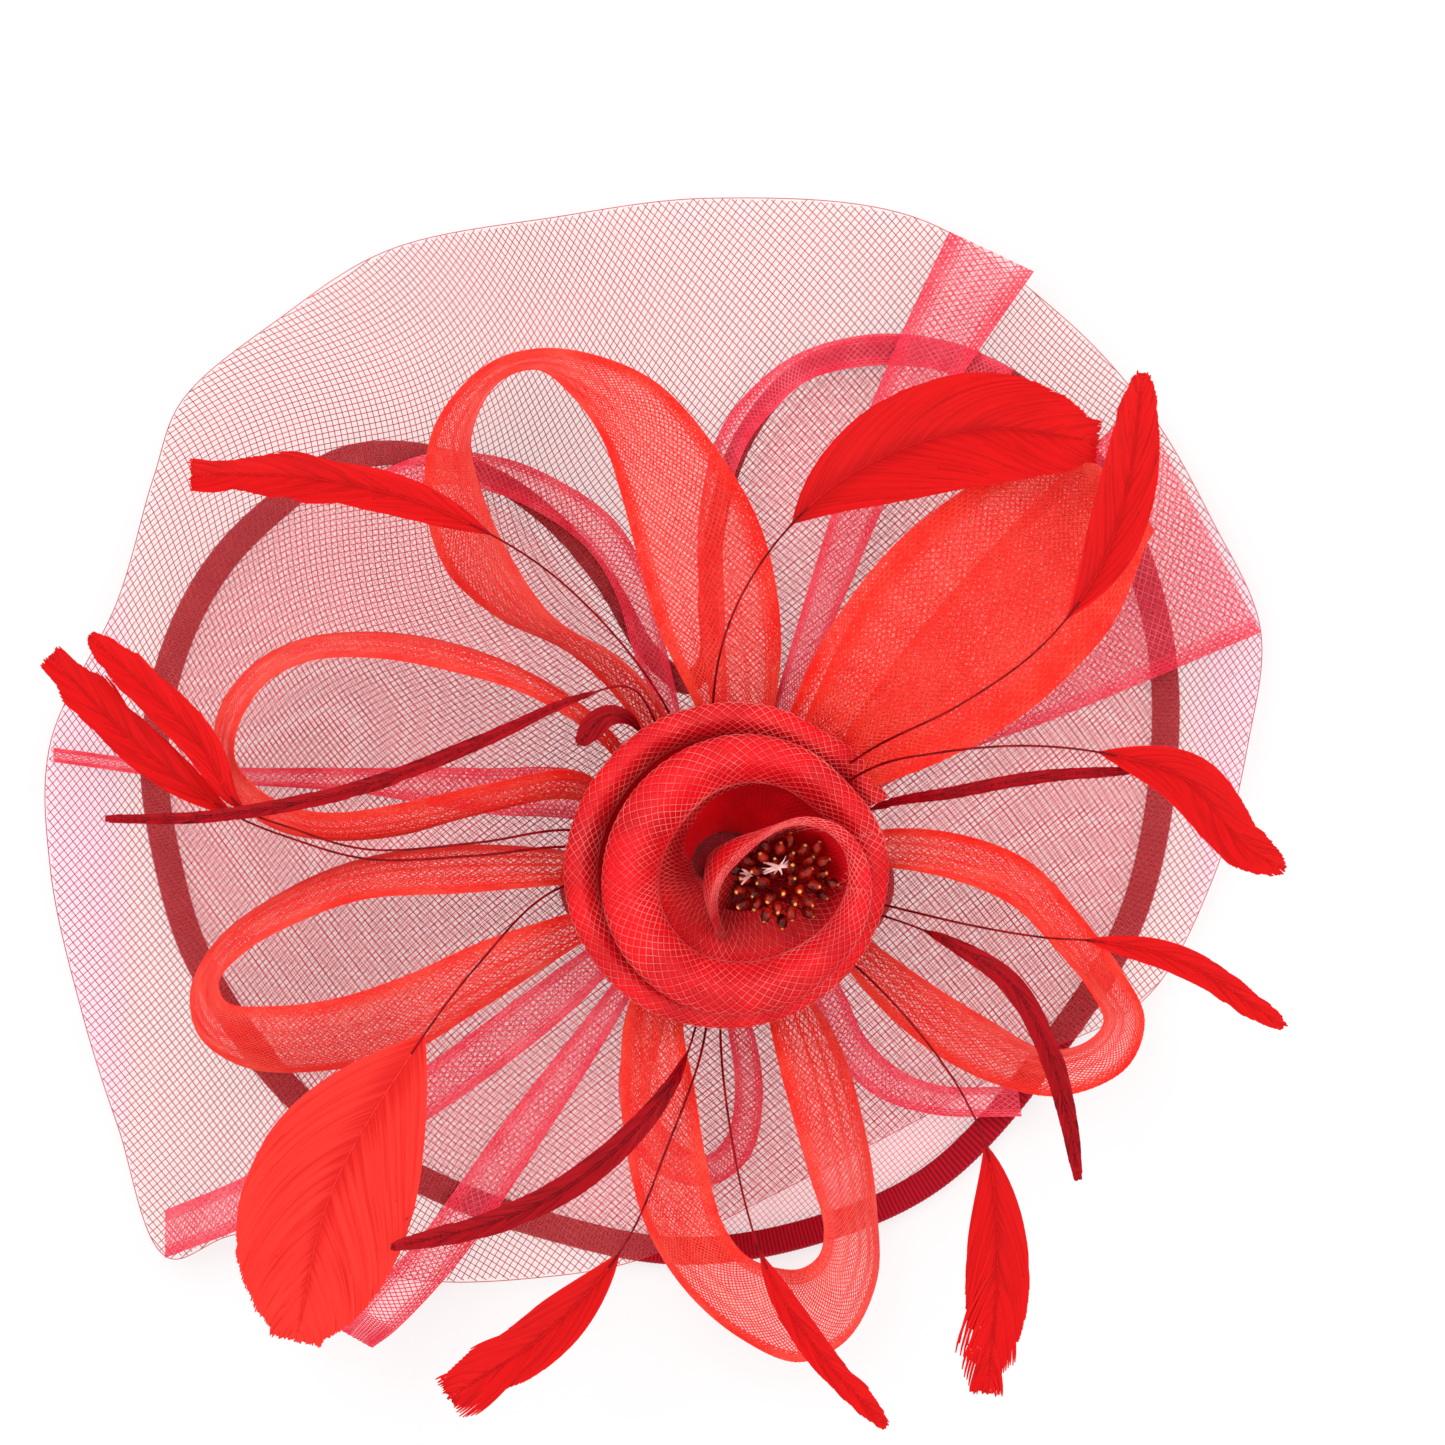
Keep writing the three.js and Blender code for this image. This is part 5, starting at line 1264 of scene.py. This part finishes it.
def splits(draw, count, number, size):
    """How far barbs part from their neighbours where a blade has split."""
    index = np.arange(count)
    parted = np.zeros(count)
    for place in draw.uniform(0.3, 0.97, number) * count:
        away = index - place
        parted += size * draw.uniform(0.4, 1) * np.sign(away) * np.exp(-np.abs(away) / draw.uniform(4, 9))
    return parted


def feather_form(shaft, blade, draw, gap, number, size, blunt):
    """Shaft and barbs: each barb is a narrow strip that leaves the shaft and lies on its neighbour."""
    form = Form()
    for first, last, finish in ((0, blade[0] + 0.02, 1), (blade[0] + 0.02, 0.97, 0)):
        t = np.linspace(first, last, 60)
        line = shaft.at(t)
        line[:, 2] += SHAFT_OVER_BARBS
        radius = np.interp(t, (0, blade[0], blade[0] + 0.06, 0.98), SHAFT_RADIUS)
        ring, faces = tubes(line, np.zeros(len(t), int), radius, sides=7)
        cloth = np.repeat(np.stack([t * shaft.length / 10, t * 0 + 0.4], axis=-1)[:, None], 7, axis=1)
        form.add(ring, faces, finish, cloth=cloth.reshape(ring.shape[:-1] + (2,)))

    lean = math.radians(np.clip(BARB_LEAN[0] + BARB_LEAN[1] * blade[1], *BARB_LEAN[2:]))
    count = int((1 - blade[0]) * shaft.length * math.sin(lean) / gap)
    steps = np.linspace(0, 1, BARB_POINTS)
    for way in (1, -1):
        root = blade[0] + (1 - blade[0]) * np.linspace(-0.03, 0.992, count)
        angle = lean + splits(draw, count, number, size) + draw.normal(0, 0.0015, count)
        tip = barb_reach(root, np.tan(lean), blade, blunt, shaft.length)
        half = (tip - root) * shaft.length * np.tan(angle) + draw.normal(0, 0.03, count)
        tip = tip + draw.normal(0, 0.3, count) / shaft.length
        raised = splits(draw, count, number, 0.2) + draw.normal(0, 0.03, count)
        along = root[:, None] + (tip - root)[:, None] * steps ** 1.04
        out = half[:, None] * (1 - (1 - steps) ** 1.6) - BARB_SETBACK * (1 - steps)
        points = shaft.at(along) + way * shaft.side(along) * out[..., None]
        points[..., 2] -= BARB_CURL * blade[1] * (1 - np.cos(steps * 1.4)) - raised[:, None] * steps
        run = unit(np.gradient(points, axis=1))
        across = unit(np.cross(run, (0, 0, 1)))
        across[..., 2] += BARB_TILT * way
        width = gap * BARB_OVERLAP * (1 - 0.6 * steps ** 9)[None, :, None]
        strips = np.stack([points - across * width, points + across * width], axis=2)
        cloth = np.stack(np.broadcast_arrays(root[:, None] * shaft.length / 10, steps[None, :]), axis=-1)
        cloth = np.repeat(cloth[:, :, None], 2, axis=2)
        flat = grid_faces(len(steps), 2)
        faces = (flat[None] + (np.arange(count) * len(steps) * 2)[:, None, None]).reshape(-1, 4)
        form.add(strips, faces, 0, cloth=cloth)
    return form


# How many times each side of a blade has split, by how much in radians, and how blunt its tip is.
BLADES = {
    "feather_right_split": (6, 0.15, 0.6), "feather_lower_left": (4, 0.012, 0.3),
    "feather_bottom": (5, 0.09, 0.8), "feather_top_left": (4, 0.04, 0.62),
    "feather_left_lower": (4, 0.05, 0.6), "feather_top_right": (3, 0.02, 0.35),
}
USUAL_BLADE = (3, 0.03, 0.1)
DARK_BLADE = (2, 0.02, 0)
PALE_FEATHERS = ("feather_lower_left",)


class HAIRCLIP_OT_feathers(bpy.types.Operator):
    """Sixteen dyed feathers on bare shafts"""

    bl_idname = "hairclip.feathers"
    bl_label = "Feathers"

    def execute(self, context):
        settings = context.scene.hairclip_feather
        bright = vane_finish("bright_barbs", rgb(176, 1, 4), tuple(settings.bright_colour), 0.1)
        dark = vane_finish("dark_barbs", rgb(80, 0, 6), tuple(settings.dark_colour), 0.08)
        pale = vane_finish("pale_barbs", rgb(206, 22, 20), tuple(settings.pale_colour), 0.1)
        quill = quill_finish("quill", rgb(92, 0, 6), rgb(150, 4, 12))
        gap = settings.barb_gap / MM
        for seed, (node, (lift, blade, points)) in enumerate(FEATHERS.items()):
            draw = np.random.default_rng(seed)
            vane, slot, parted = bright, "feather", BLADES.get(node, USUAL_BLADE)
            if node in DARK_FEATHERS:
                vane, slot, parted = dark, "dark_feather", DARK_BLADE
            if node in PALE_FEATHERS:
                vane = pale
            form = feather_form(Shaft(points, lift), blade, draw, gap, *parted)
            form.piece(node + "_barbs", [vane, quill], node, slot=slot)
        return {"FINISHED"}


# ---------------------------------------------------------------- flower


# How far the roll's two ends sink out of sight.
SUNK_START = 20
SUNK_END = 9
# How the wall goes on below the hem, by row of the roll.
WALL_INWARD = ((0, 3), (8, 5), (10.5, 13), (15.5, 13), (18.5, 5), (20.5, 4), (22, 1), (39, 1))
WALL_DEPTH = ((0, 11), (8, 11), (10.5, 5), (15, 6), (18, 17), (20, 17), (22, 8), (39, 6))
ROLL_OVERLAP = 0.1
LINING_DEPTH = 0.22
ROLL_LEAN = 47


def roll_surface(first, last):
    """surface(u, v) of a length of the flower's roll: v from its foot, over the fold and down inside."""
    roll = smooth_through([(x, y, z, half, 0, 0) for x, y, z, half in FLOWER_ROLL])

    def surface(u, v):
        u, v = np.broadcast_arrays(np.asarray(u, float), np.asarray(v, float))
        row = first + (last - first) * u
        values = roll(row / (len(FLOWER_ROLL) - 1))
        sunk = SUNK_START * (1 - smoothstep(row, 0, 3)) + SUNK_END * smoothstep(row, 38, 41)
        crest, height, fold = values[..., :2], values[..., 2] - sunk, values[..., 3:4]
        centre = np.array(THROAT_CENTRE) * (1 - np.minimum(1, row / THROAT_ROWS))[..., None]
        out = np.zeros(row.shape + (3,))
        out[..., :2] = unit(crest - centre)
        foot = out * table_at(FOOT_RADIUS, row)[..., None]
        foot[..., 2] = table_at(FOOT_HEIGHT, row)
        edge = np.concatenate([crest, (height - fold[..., 0])[..., None]], axis=-1)
        flank = foot + (edge - foot) * FLANK_PLACE + out * FLANK_BELLY
        top = edge - out * fold
        top[..., 2] = height
        inner = edge - 2 * out * fold
        hem = inner.copy()
        hem[..., 2] -= HEM_DEPTH[0] + fold[..., 0] * HEM_DEPTH[1]
        deep = hem - out * table_at(WALL_INWARD, row)[..., None]
        deep[..., 2] -= table_at(WALL_DEPTH, row)
        points = np.stack([2 * foot - flank, foot, flank, edge, top, inner, hem, deep, 2 * deep - hem])
        place = v * 6
        start = np.minimum(place.astype(int), 5)
        w = (place - start)[..., None]
        four = [np.take_along_axis(points, (start + k)[None, ..., None], axis=0)[0] for k in range(4)]
        a, b, c, d = four
        bend = (2 * a - 5 * b + 4 * c - d) * w ** 2 + (3 * b - a - 3 * c + d) * w ** 3
        return b + (c - a) * w / 2 + bend / 2

    return surface


def beneath(surface, depth):
    """A surface a little inside another one."""

    def lower(u, v):
        points = surface(u, v)
        return points + grid_normals(points) * depth

    return lower


class HAIRCLIP_OT_flower(bpy.types.Operator):
    """The flower: one crinoline tube rolled from the throat outwards"""

    bl_idname = "hairclip.flower"
    bl_label = "Rolled flower"

    def execute(self, context):
        settings = context.scene.hairclip_flower
        lining = lining_finish(
            "flower_lining", rgb(186, 0, 14), tuple(settings.lining_colour), rgb(244, 34, 44))
        thread = thread_finish("flower_thread", tuple(settings.thread_colour), rgb(255, 128, 124))
        lengths = (
            ("flower_throat", 0, THROAT_ROWS + ROLL_OVERLAP),
            ("flower_inner_wrap", THROAT_ROWS, INNER_ROWS + ROLL_OVERLAP),
            ("flower_outer_wrap", INNER_ROWS, len(FLOWER_ROLL) - 1),
        )
        for node, first, last in lengths:
            surface = roll_surface(first, last)
            length, width = sizes_of(surface)
            form = ground_form(beneath(surface, LINING_DEPTH), length, width, step=1.6, columns=36)
            cloth = form.piece(node + "_lining", [lining], node, slot="crinoline")
            lines = bias_lines(surface, length, width, settings.pitch / MM, ROLL_LEAN, step=1.5)
            threads = add_lines(Form(), lines, settings.thread / MM).piece(
                node + "_threads", [thread], node, slot="crinoline")
        return {"FINISHED"}


BUNCH_CENTRE = (13.6, -2.6, 61)
BUNCH_SPREAD = (13, 10.6)
BUNCH_CROWN = 2.4
BUNCH_UNEVEN = 1.6
TIE_TOP = (0.6, -0.2, 38.4)
TIE_SPREAD = 1.7
HEAD_LEAN = 11
GOLDEN_TURN = 137.508
BEAD = (
    (0.04, -2.1), (0.5, -1.95), (1.02, -1.35), (1.36, -0.45), (1.4, 0.4), (1.14, 1.25), (0.66, 1.95),
    (0.3, 2.25), (0.04, 2.3),
)
# Frayed tufts: place, how many ends, and their reach.
TUFTS = (((12.6, 0.6, 61.6), 13, 4.4), ((5.6, -1.4, 60.4), 7, 3.2))


class HAIRCLIP_OT_stamens(bpy.types.Operator):
    """Lacquered stamens in the throat, and the frayed end of the tie between them"""

    bl_idname = "hairclip.stamens"
    bl_label = "Stamens"

    def execute(self, context):
        settings = context.scene.hairclip_flower
        draw = np.random.default_rng(27)
        # The last colour is the gold highlight painted at each head's tip.
        bead = bead_finish("lacquer", rgb(58, 2, 3), tuple(settings.bead_colour), rgb(255, 176, 84))
        stalk = thread_finish("stalk", rgb(120, 6, 12), rgb(196, 22, 26))
        frayed = thread_finish("frayed_thread", rgb(205, 132, 134), rgb(240, 196, 188), roughness=0.6)
        form = Form()
        count = settings.stamens
        for k in range(count):
            share = math.sqrt((k + 1.2) / (count + 1))
            angle = math.radians(GOLDEN_TURN * k)
            spread = np.array([math.cos(angle), math.sin(angle), 0]) * share
            head = np.array(BUNCH_CENTRE) + spread * (*BUNCH_SPREAD, 0)
            head[2] += BUNCH_UNEVEN * math.sin(5 * k) - BUNCH_CROWN * share
            root = np.array(TIE_TOP) + spread * TIE_SPREAD
            lean = unit(spread * HEAD_LEAN + (0, 0, 6) + draw.normal(0, 1.6, 3))
            points, faces = revolve(BEAD, 14, lean, head)
            tip = np.broadcast_to(np.linspace(0, 1, len(BEAD))[None, :], points.shape[:2])
            form.add(points, faces, 0, cloth=np.stack([tip * 0, tip], axis=-1))
            t = np.linspace(0, 1, 9)[:, None]
            line = root + (head - root) * t + np.array([0.8, -0.5, 0]) * np.sin(math.pi * t)
            add_lines(form, line[None], 0.27, finish=1, sides=6)
        t = np.linspace(0, 1, 7)[:, None]
        for place, ends, reach in TUFTS:
            for _ in range(ends):
                angle = draw.uniform(0, 2 * math.pi)
                length = reach * draw.uniform(0.45, 1)
                way = np.array([math.cos(angle), math.sin(angle), 0])
                turned = np.array([-way[1], way[0], 0])
                rise = draw.uniform(0.4, 2.2) * t - 1.6 * t * t
                line = np.array(place) + way * length * t + turned * draw.normal(0, 0.9) * t ** 2
                line = line + (0, 0, 1) * rise
                aside = turned * (draw.uniform(0.25, 0.55) * (1 - 0.7 * t)) + (0, 0, draw.normal(0, 0.2))
                strip = np.stack([line - aside, line + aside], axis=1)
                form.add(strip, grid_faces(len(t), 2), 2)
        form.piece("stamen_bunch", [bead, stalk, frayed], "stamens", slot="stamen")
        return {"FINISHED"}


# ---------------------------------------------------------------- felt, elastic and clip


UNEVEN_WAVES = (0.9, 1.7, 2.9)


def uneven(points, size):
    """A little hand-made unevenness, the same each time."""
    x, y, z = np.moveaxis(np.asarray(points, float), -1, 0)
    total = 0
    for k, wave in enumerate(UNEVEN_WAVES):
        total = total + np.sin(wave * x + 1.3 * k + 0.7 * z) * np.cos(wave * 0.83 * y - 2.1 * k)
    return size * total / len(UNEVEN_WAVES)


def strap_form(path, start, end, gauge, columns=9):
    """A flat strap that follows a line in Y and Z and is as wide as X runs from start to end."""
    line = smooth_through([(y, z, 0) for y, z in path])(np.linspace(0, 1, 90))[:, :2]
    run = unit(np.gradient(line, axis=0))
    normal = np.stack([-run[:, 1], run[:, 0]], axis=-1)
    along = np.append(0, np.cumsum(np.linalg.norm(np.diff(line, axis=0), axis=1)))
    x = np.linspace(start, end, columns)
    thin = np.where((np.arange(columns) % (columns - 1)) == 0, 0.55, 1.0)[None, :, None]
    layers = []
    for way in (1, -1):
        place = line[:, None] + way * gauge / 2 * thin * normal[:, None]
        points = np.zeros((len(line), columns, 3))
        points[..., 0] = x
        points[..., 1:] = place
        layers.append(points)
    cloth = np.stack(np.broadcast_arrays(along[:, None] / 10, (x - start)[None, :] / 10), axis=-1)
    points, cloth = np.concatenate(layers), np.concatenate([cloth, cloth])
    return Form().add(points, shell_faces(len(line), columns), cloth=cloth), along[-1]


# The felt hub from its middle outwards: radius, height over its bottom; then radius, depth below its top.
HUB_FOOT = ((0.06, 0), (9.2, 0), (10.1, 0.5), (10.4, 1.6))
HUB_SHOULDER = ((9.9, 1.8), (8.4, 0.6), (6.4, 0.1), (0.06, 0))
PAD_THICKNESS = 0.85
PAD_STITCHES = 56
# A stitch from the pad's edge to its face: share of the pad's reach, and height over its middle.
STITCH = ((1.005, 0.3), (1.0, -0.7), (0.95, -1.05), (0.93, -0.8))
# Half of the strip over the clip's leg, and a headband loop: y, z.
STRIP_HALF = ((14.8, 13.8), (9.5, 13.72), (6, 13.6), (4.95, 12.75), (4.35, 11.85), (2.2, 11.65))
BAND_PATH = (
    (-24.6, 12.05), (-23.3, 12.1), (-22.65, 11.4), (-22.6, 9), (-22.1, 7.8), (-20.5, 7.55),
    (-16.5, 7.5), (-12.5, 7.55), (-10.9, 7.8), (-10.4, 9), (-10.4, 11.4), (-9.9, 12.1), (-9.1, 12.2),
)


class HAIRCLIP_OT_felt(bpy.types.Operator):
    """The felt pad in the dome with its stitching, the flower's felt base, and the strip over the clip"""

    bl_idname = "hairclip.felt"
    bl_label = "Felt pieces"

    def execute(self, context):
        felt = felt_finish("felt", rgb(116, 6, 20), rgb(196, 24, 40))
        rows, shares = 180, np.linspace(0.06, 1, 18)
        angle = 2 * math.pi * np.arange(rows)[:, None] / rows
        x = PAD_LENGTH / 2 * shares * np.cos(angle)
        y = PAD_CENTRE_Y + PAD_WIDTH / 2 * shares * np.sin(angle)
        middle = np.stack([x, y, brim_height(x, y) - PAD_DROP], axis=-1)
        thick = PAD_THICKNESS * np.sqrt(np.clip(1 - np.maximum(0, (shares - 0.93) / 0.07) ** 2, 0.03, 1))
        layers = [middle + (0, 0, 1) * (way * thick + uneven(middle, 0.09))[..., None] for way in (1, -1)]
        form = Form().add(np.concatenate(layers), shell_faces(rows, len(shares), ring=True))
        pad = form.piece("pad_felt", [felt], "back_pad", slot="felt")

        stitches = []
        reach, lift = np.array(STITCH).T
        for k in range(PAD_STITCHES):
            turn = 2 * math.pi * k / PAD_STITCHES
            place = np.stack([PAD_LENGTH / 2 * reach * math.cos(turn),
                              PAD_CENTRE_Y + PAD_WIDTH / 2 * reach * math.sin(turn)], axis=-1)
            z = brim_height(place[:, 0], place[:, 1]) - PAD_DROP + lift
            stitches.append(smooth_through(np.column_stack([place, z]))(np.linspace(0, 1, 9)))
        yarn = thread_finish("pad_stitching", rgb(150, 10, 28), rgb(214, 40, 54), roughness=0.7)
        stitching = add_lines(Form(), stitches, 0.22, sides=6).piece("pad_stitches", [yarn], slot="felt")
        area_of(middle, ring=True) * MM * MM

        profile = [(radius, HUB_BOTTOM + z) for radius, z in HUB_FOOT]
        profile += [(10.4, z) for z in np.linspace(HUB_BOTTOM + 3, HUB_TOP - 3.4, 6)]
        profile += [(radius, HUB_TOP - z) for radius, z in HUB_SHOULDER]
        points, faces = revolve(profile, 90)
        points[..., :2] *= (1 - np.abs(uneven(points, 0.02)))[..., None]
        Form().add(points, faces).piece("hub_felt", [felt], "flower_base", slot="felt")

        path = [(-y, z) for y, z in STRIP_HALF] + [(0, 11.62)] + list(STRIP_HALF[::-1])
        form, length = strap_form(path, -4, 5, 0.8)
        strip = form.piece("strip_felt", [felt], "clip_strip", slot="felt")
        return {"FINISHED"}


class HAIRCLIP_OT_headband_loops(bpy.types.Operator):
    """Two narrow elastic loops under the pad, which a headband runs through"""

    bl_idname = "hairclip.headband_loops"
    bl_label = "Headband loops"

    def execute(self, context):
        # The darker colour is the painted shade in the elastic's valleys.
        elastic = elastic_finish("elastic", rgb(92, 4, 18), rgb(172, 20, 42))
        for node, x in (("headband_loop_left", -24), ("headband_loop_right", 24)):
            form, length = strap_form(BAND_PATH, x - 4, x + 4, 0.95, columns=13)
            band = form.piece(node + "_elastic", [elastic], node, slot="elastic")
        return {"FINISHED"}


PIVOT = (19, 0, 7.9)
SPRING_RADIUS = 2.2
SPRING_TURNS = 3.5
SPRING_PITCH = 1.0
SPRING_WIRE = 0.38
SPRING_END_X = 27.6
UPPER_LEG_Z = 11.9
LOWER_LEG_Z = 1.8


class HAIRCLIP_OT_clip(bpy.types.Operator):
    """The sprung clip: enamelled jaws, bright pin and a coiled spring with a leg on each jaw"""

    bl_idname = "hairclip.clip"
    bl_label = "Clip"

    def execute(self, context):
        enamel = enamel_finish("black_enamel", rgb(22, 22, 24), rgb(150, 150, 154))
        steel = steel_finish("bright_steel", rgb(140, 142, 146), rgb(214, 215, 218))
        finishes = {"clip_fixed_jaw": enamel, "clip_moving_jaw": enamel, "clip_pin": steel}
        for node, finish in finishes.items():
            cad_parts[node].material_slots[0].material = finish

        end_y = SPRING_PITCH * SPRING_TURNS / 2
        turn = np.linspace(0, SPRING_TURNS, 150)
        angle = math.pi / 2 + 2 * math.pi * turn
        coil = np.stack([PIVOT[0] + SPRING_RADIUS * np.cos(angle), SPRING_PITCH * turn - end_y,
                         PIVOT[2] + SPRING_RADIUS * np.sin(angle)], axis=-1)
        upper = np.linspace((SPRING_END_X, -end_y, UPPER_LEG_Z), coil[0], 12)[:-1]
        lower = np.linspace(coil[-1], (SPRING_END_X, end_y, LOWER_LEG_Z), 12)
        wound = add_lines(Form(), [np.concatenate([upper, coil])], SPRING_WIRE, sides=10)
        wound.piece("spring_coil", [steel], "clip_spring", slot="rivet")
        leg = add_lines(Form(), [lower], SPRING_WIRE, sides=10)
        leg.piece("spring_lower_leg", [steel], "clip_spring", body=MOVING_JAW, slot="rivet")
        return {"FINISHED"}


# ---------------------------------------------------------------- stage

VIEW_CENTRE = (-1.1, 36.4, 25)
FLOOR_SIZE = 16.0
FLOOR_DROP = 0.4
SENSOR = 36.0
# Large soft lights: place in metres, size in metres, share of the key light's power.
LIGHTS = (((-1.1, 1.3, 2.2), 1.7, 1.0), ((1.5, 0.6, 1.9), 1.5, 0.5), ((0.2, -1.9, 1.8), 1.5, 0.4))


class HAIRCLIP_OT_stage(bpy.types.Operator):
    """Pale floor, soft studio light and the camera straight above"""

    bl_idname = "hairclip.stage"
    bl_label = "Stage"

    def execute(self, context):
        scene = context.scene
        settings = scene.hairclip_stage
        floor = floor_finish("pale_floor", rgb(142, 141, 141), rgb(255, 254, 254), settings.backlight)
        ticks = np.linspace(-FLOOR_SIZE / 2, FLOOR_SIZE / 2, 5) / MM
        points = [[(x, y, -FLOOR_DROP) for y in ticks] for x in ticks]
        ground = Form().add(points, grid_faces(5, 5)).piece("floor", [floor], body=None)
        ground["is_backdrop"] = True

        world = bpy.data.worlds.new("studio")
        world.use_nodes = True
        world.node_tree.nodes["Background"].inputs["Color"].default_value = (1, 1, 1, 1)
        world.node_tree.nodes["Background"].inputs["Strength"].default_value = settings.sky
        scene.world = world
        target = np.array(VIEW_CENTRE) * MM
        for index, (place, size, share) in enumerate(LIGHTS):
            lamp = bpy.data.lights.new("soft_light_%d" % index, "AREA")
            lamp.size = size
            lamp.energy = settings.key * share
            light = bpy.data.objects.new(lamp.name, lamp)
            light.location = place
            away = Vector(target) - light.location
            light.rotation_euler = away.to_track_quat("-Z", "Y").to_euler()
            light.visible_camera = False
            scene.collection.objects.link(light)

        lens = bpy.data.cameras.new("camera")
        lens.type = "PERSP"
        lens.sensor_width = SENSOR
        lens.lens = SENSOR * settings.camera_distance / settings.view_width
        lens.clip_end = 100
        camera = bpy.data.objects.new("camera", lens)
        camera.location = target + (0, 0, settings.camera_distance)
        scene.collection.objects.link(camera)
        scene.camera = camera
        scene.view_settings.view_transform = "Standard"
        scene.cycles.transparent_max_bounces = 48
        return {"FINISHED"}


# ---------------------------------------------------------------- the add-on

PROPERTY_GROUPS = {
    "hairclip_net": NetSettings,
    "hairclip_ribbon": RibbonSettings,
    "hairclip_flower": FlowerSettings,
    "hairclip_feather": FeatherSettings,
    "hairclip_stage": StageSettings,
}

OPERATORS = (
    HAIRCLIP_OT_stage,
    HAIRCLIP_OT_brim_net,
    HAIRCLIP_OT_binding,
    HAIRCLIP_OT_veil,
    HAIRCLIP_OT_under_ribbons,
    HAIRCLIP_OT_standing_loops,
    HAIRCLIP_OT_feathers,
    HAIRCLIP_OT_flower,
    HAIRCLIP_OT_stamens,
    HAIRCLIP_OT_felt,
    HAIRCLIP_OT_headband_loops,
    HAIRCLIP_OT_clip,
)


class HAIRCLIP_PT_pieces(bpy.types.Panel):
    """Lists the pieces and what can be changed"""

    bl_idname = "HAIRCLIP_PT_pieces"
    bl_label = "Flower Hair Clip"
    bl_space_type = "VIEW_3D"
    bl_region_type = "UI"
    bl_category = "Hair Clip"

    def draw(self, context):
        for name, group in PROPERTY_GROUPS.items():
            box = self.layout.box()
            box.label(text=group.__doc__)
            for key in group.__annotations__:
                box.prop(getattr(context.scene, name), key)
        for operator in OPERATORS:
            self.layout.operator(operator.bl_idname)


def register():
    for name, group in PROPERTY_GROUPS.items():
        bpy.utils.register_class(group)
        setattr(bpy.types.Scene, name, bpy.props.PointerProperty(type=group))
    for made in (*OPERATORS, HAIRCLIP_PT_pieces):
        bpy.utils.register_class(made)


def unregister():
    for made in (HAIRCLIP_PT_pieces, *reversed(OPERATORS)):
        bpy.utils.unregister_class(made)
    for name, group in reversed(PROPERTY_GROUPS.items()):
        delattr(bpy.types.Scene, name)
        bpy.utils.unregister_class(group)


def main():
    register()
    for operator in OPERATORS:
        group, name = operator.bl_idname.split(".")
        getattr(getattr(bpy.ops, group), name)()
    boxes = {"cad": CAD_BOX, "visual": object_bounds()}
    sizes = {name: [list(corner) for corner in box] for name, box in boxes.items()}


if __name__ == "__main__":
    main()
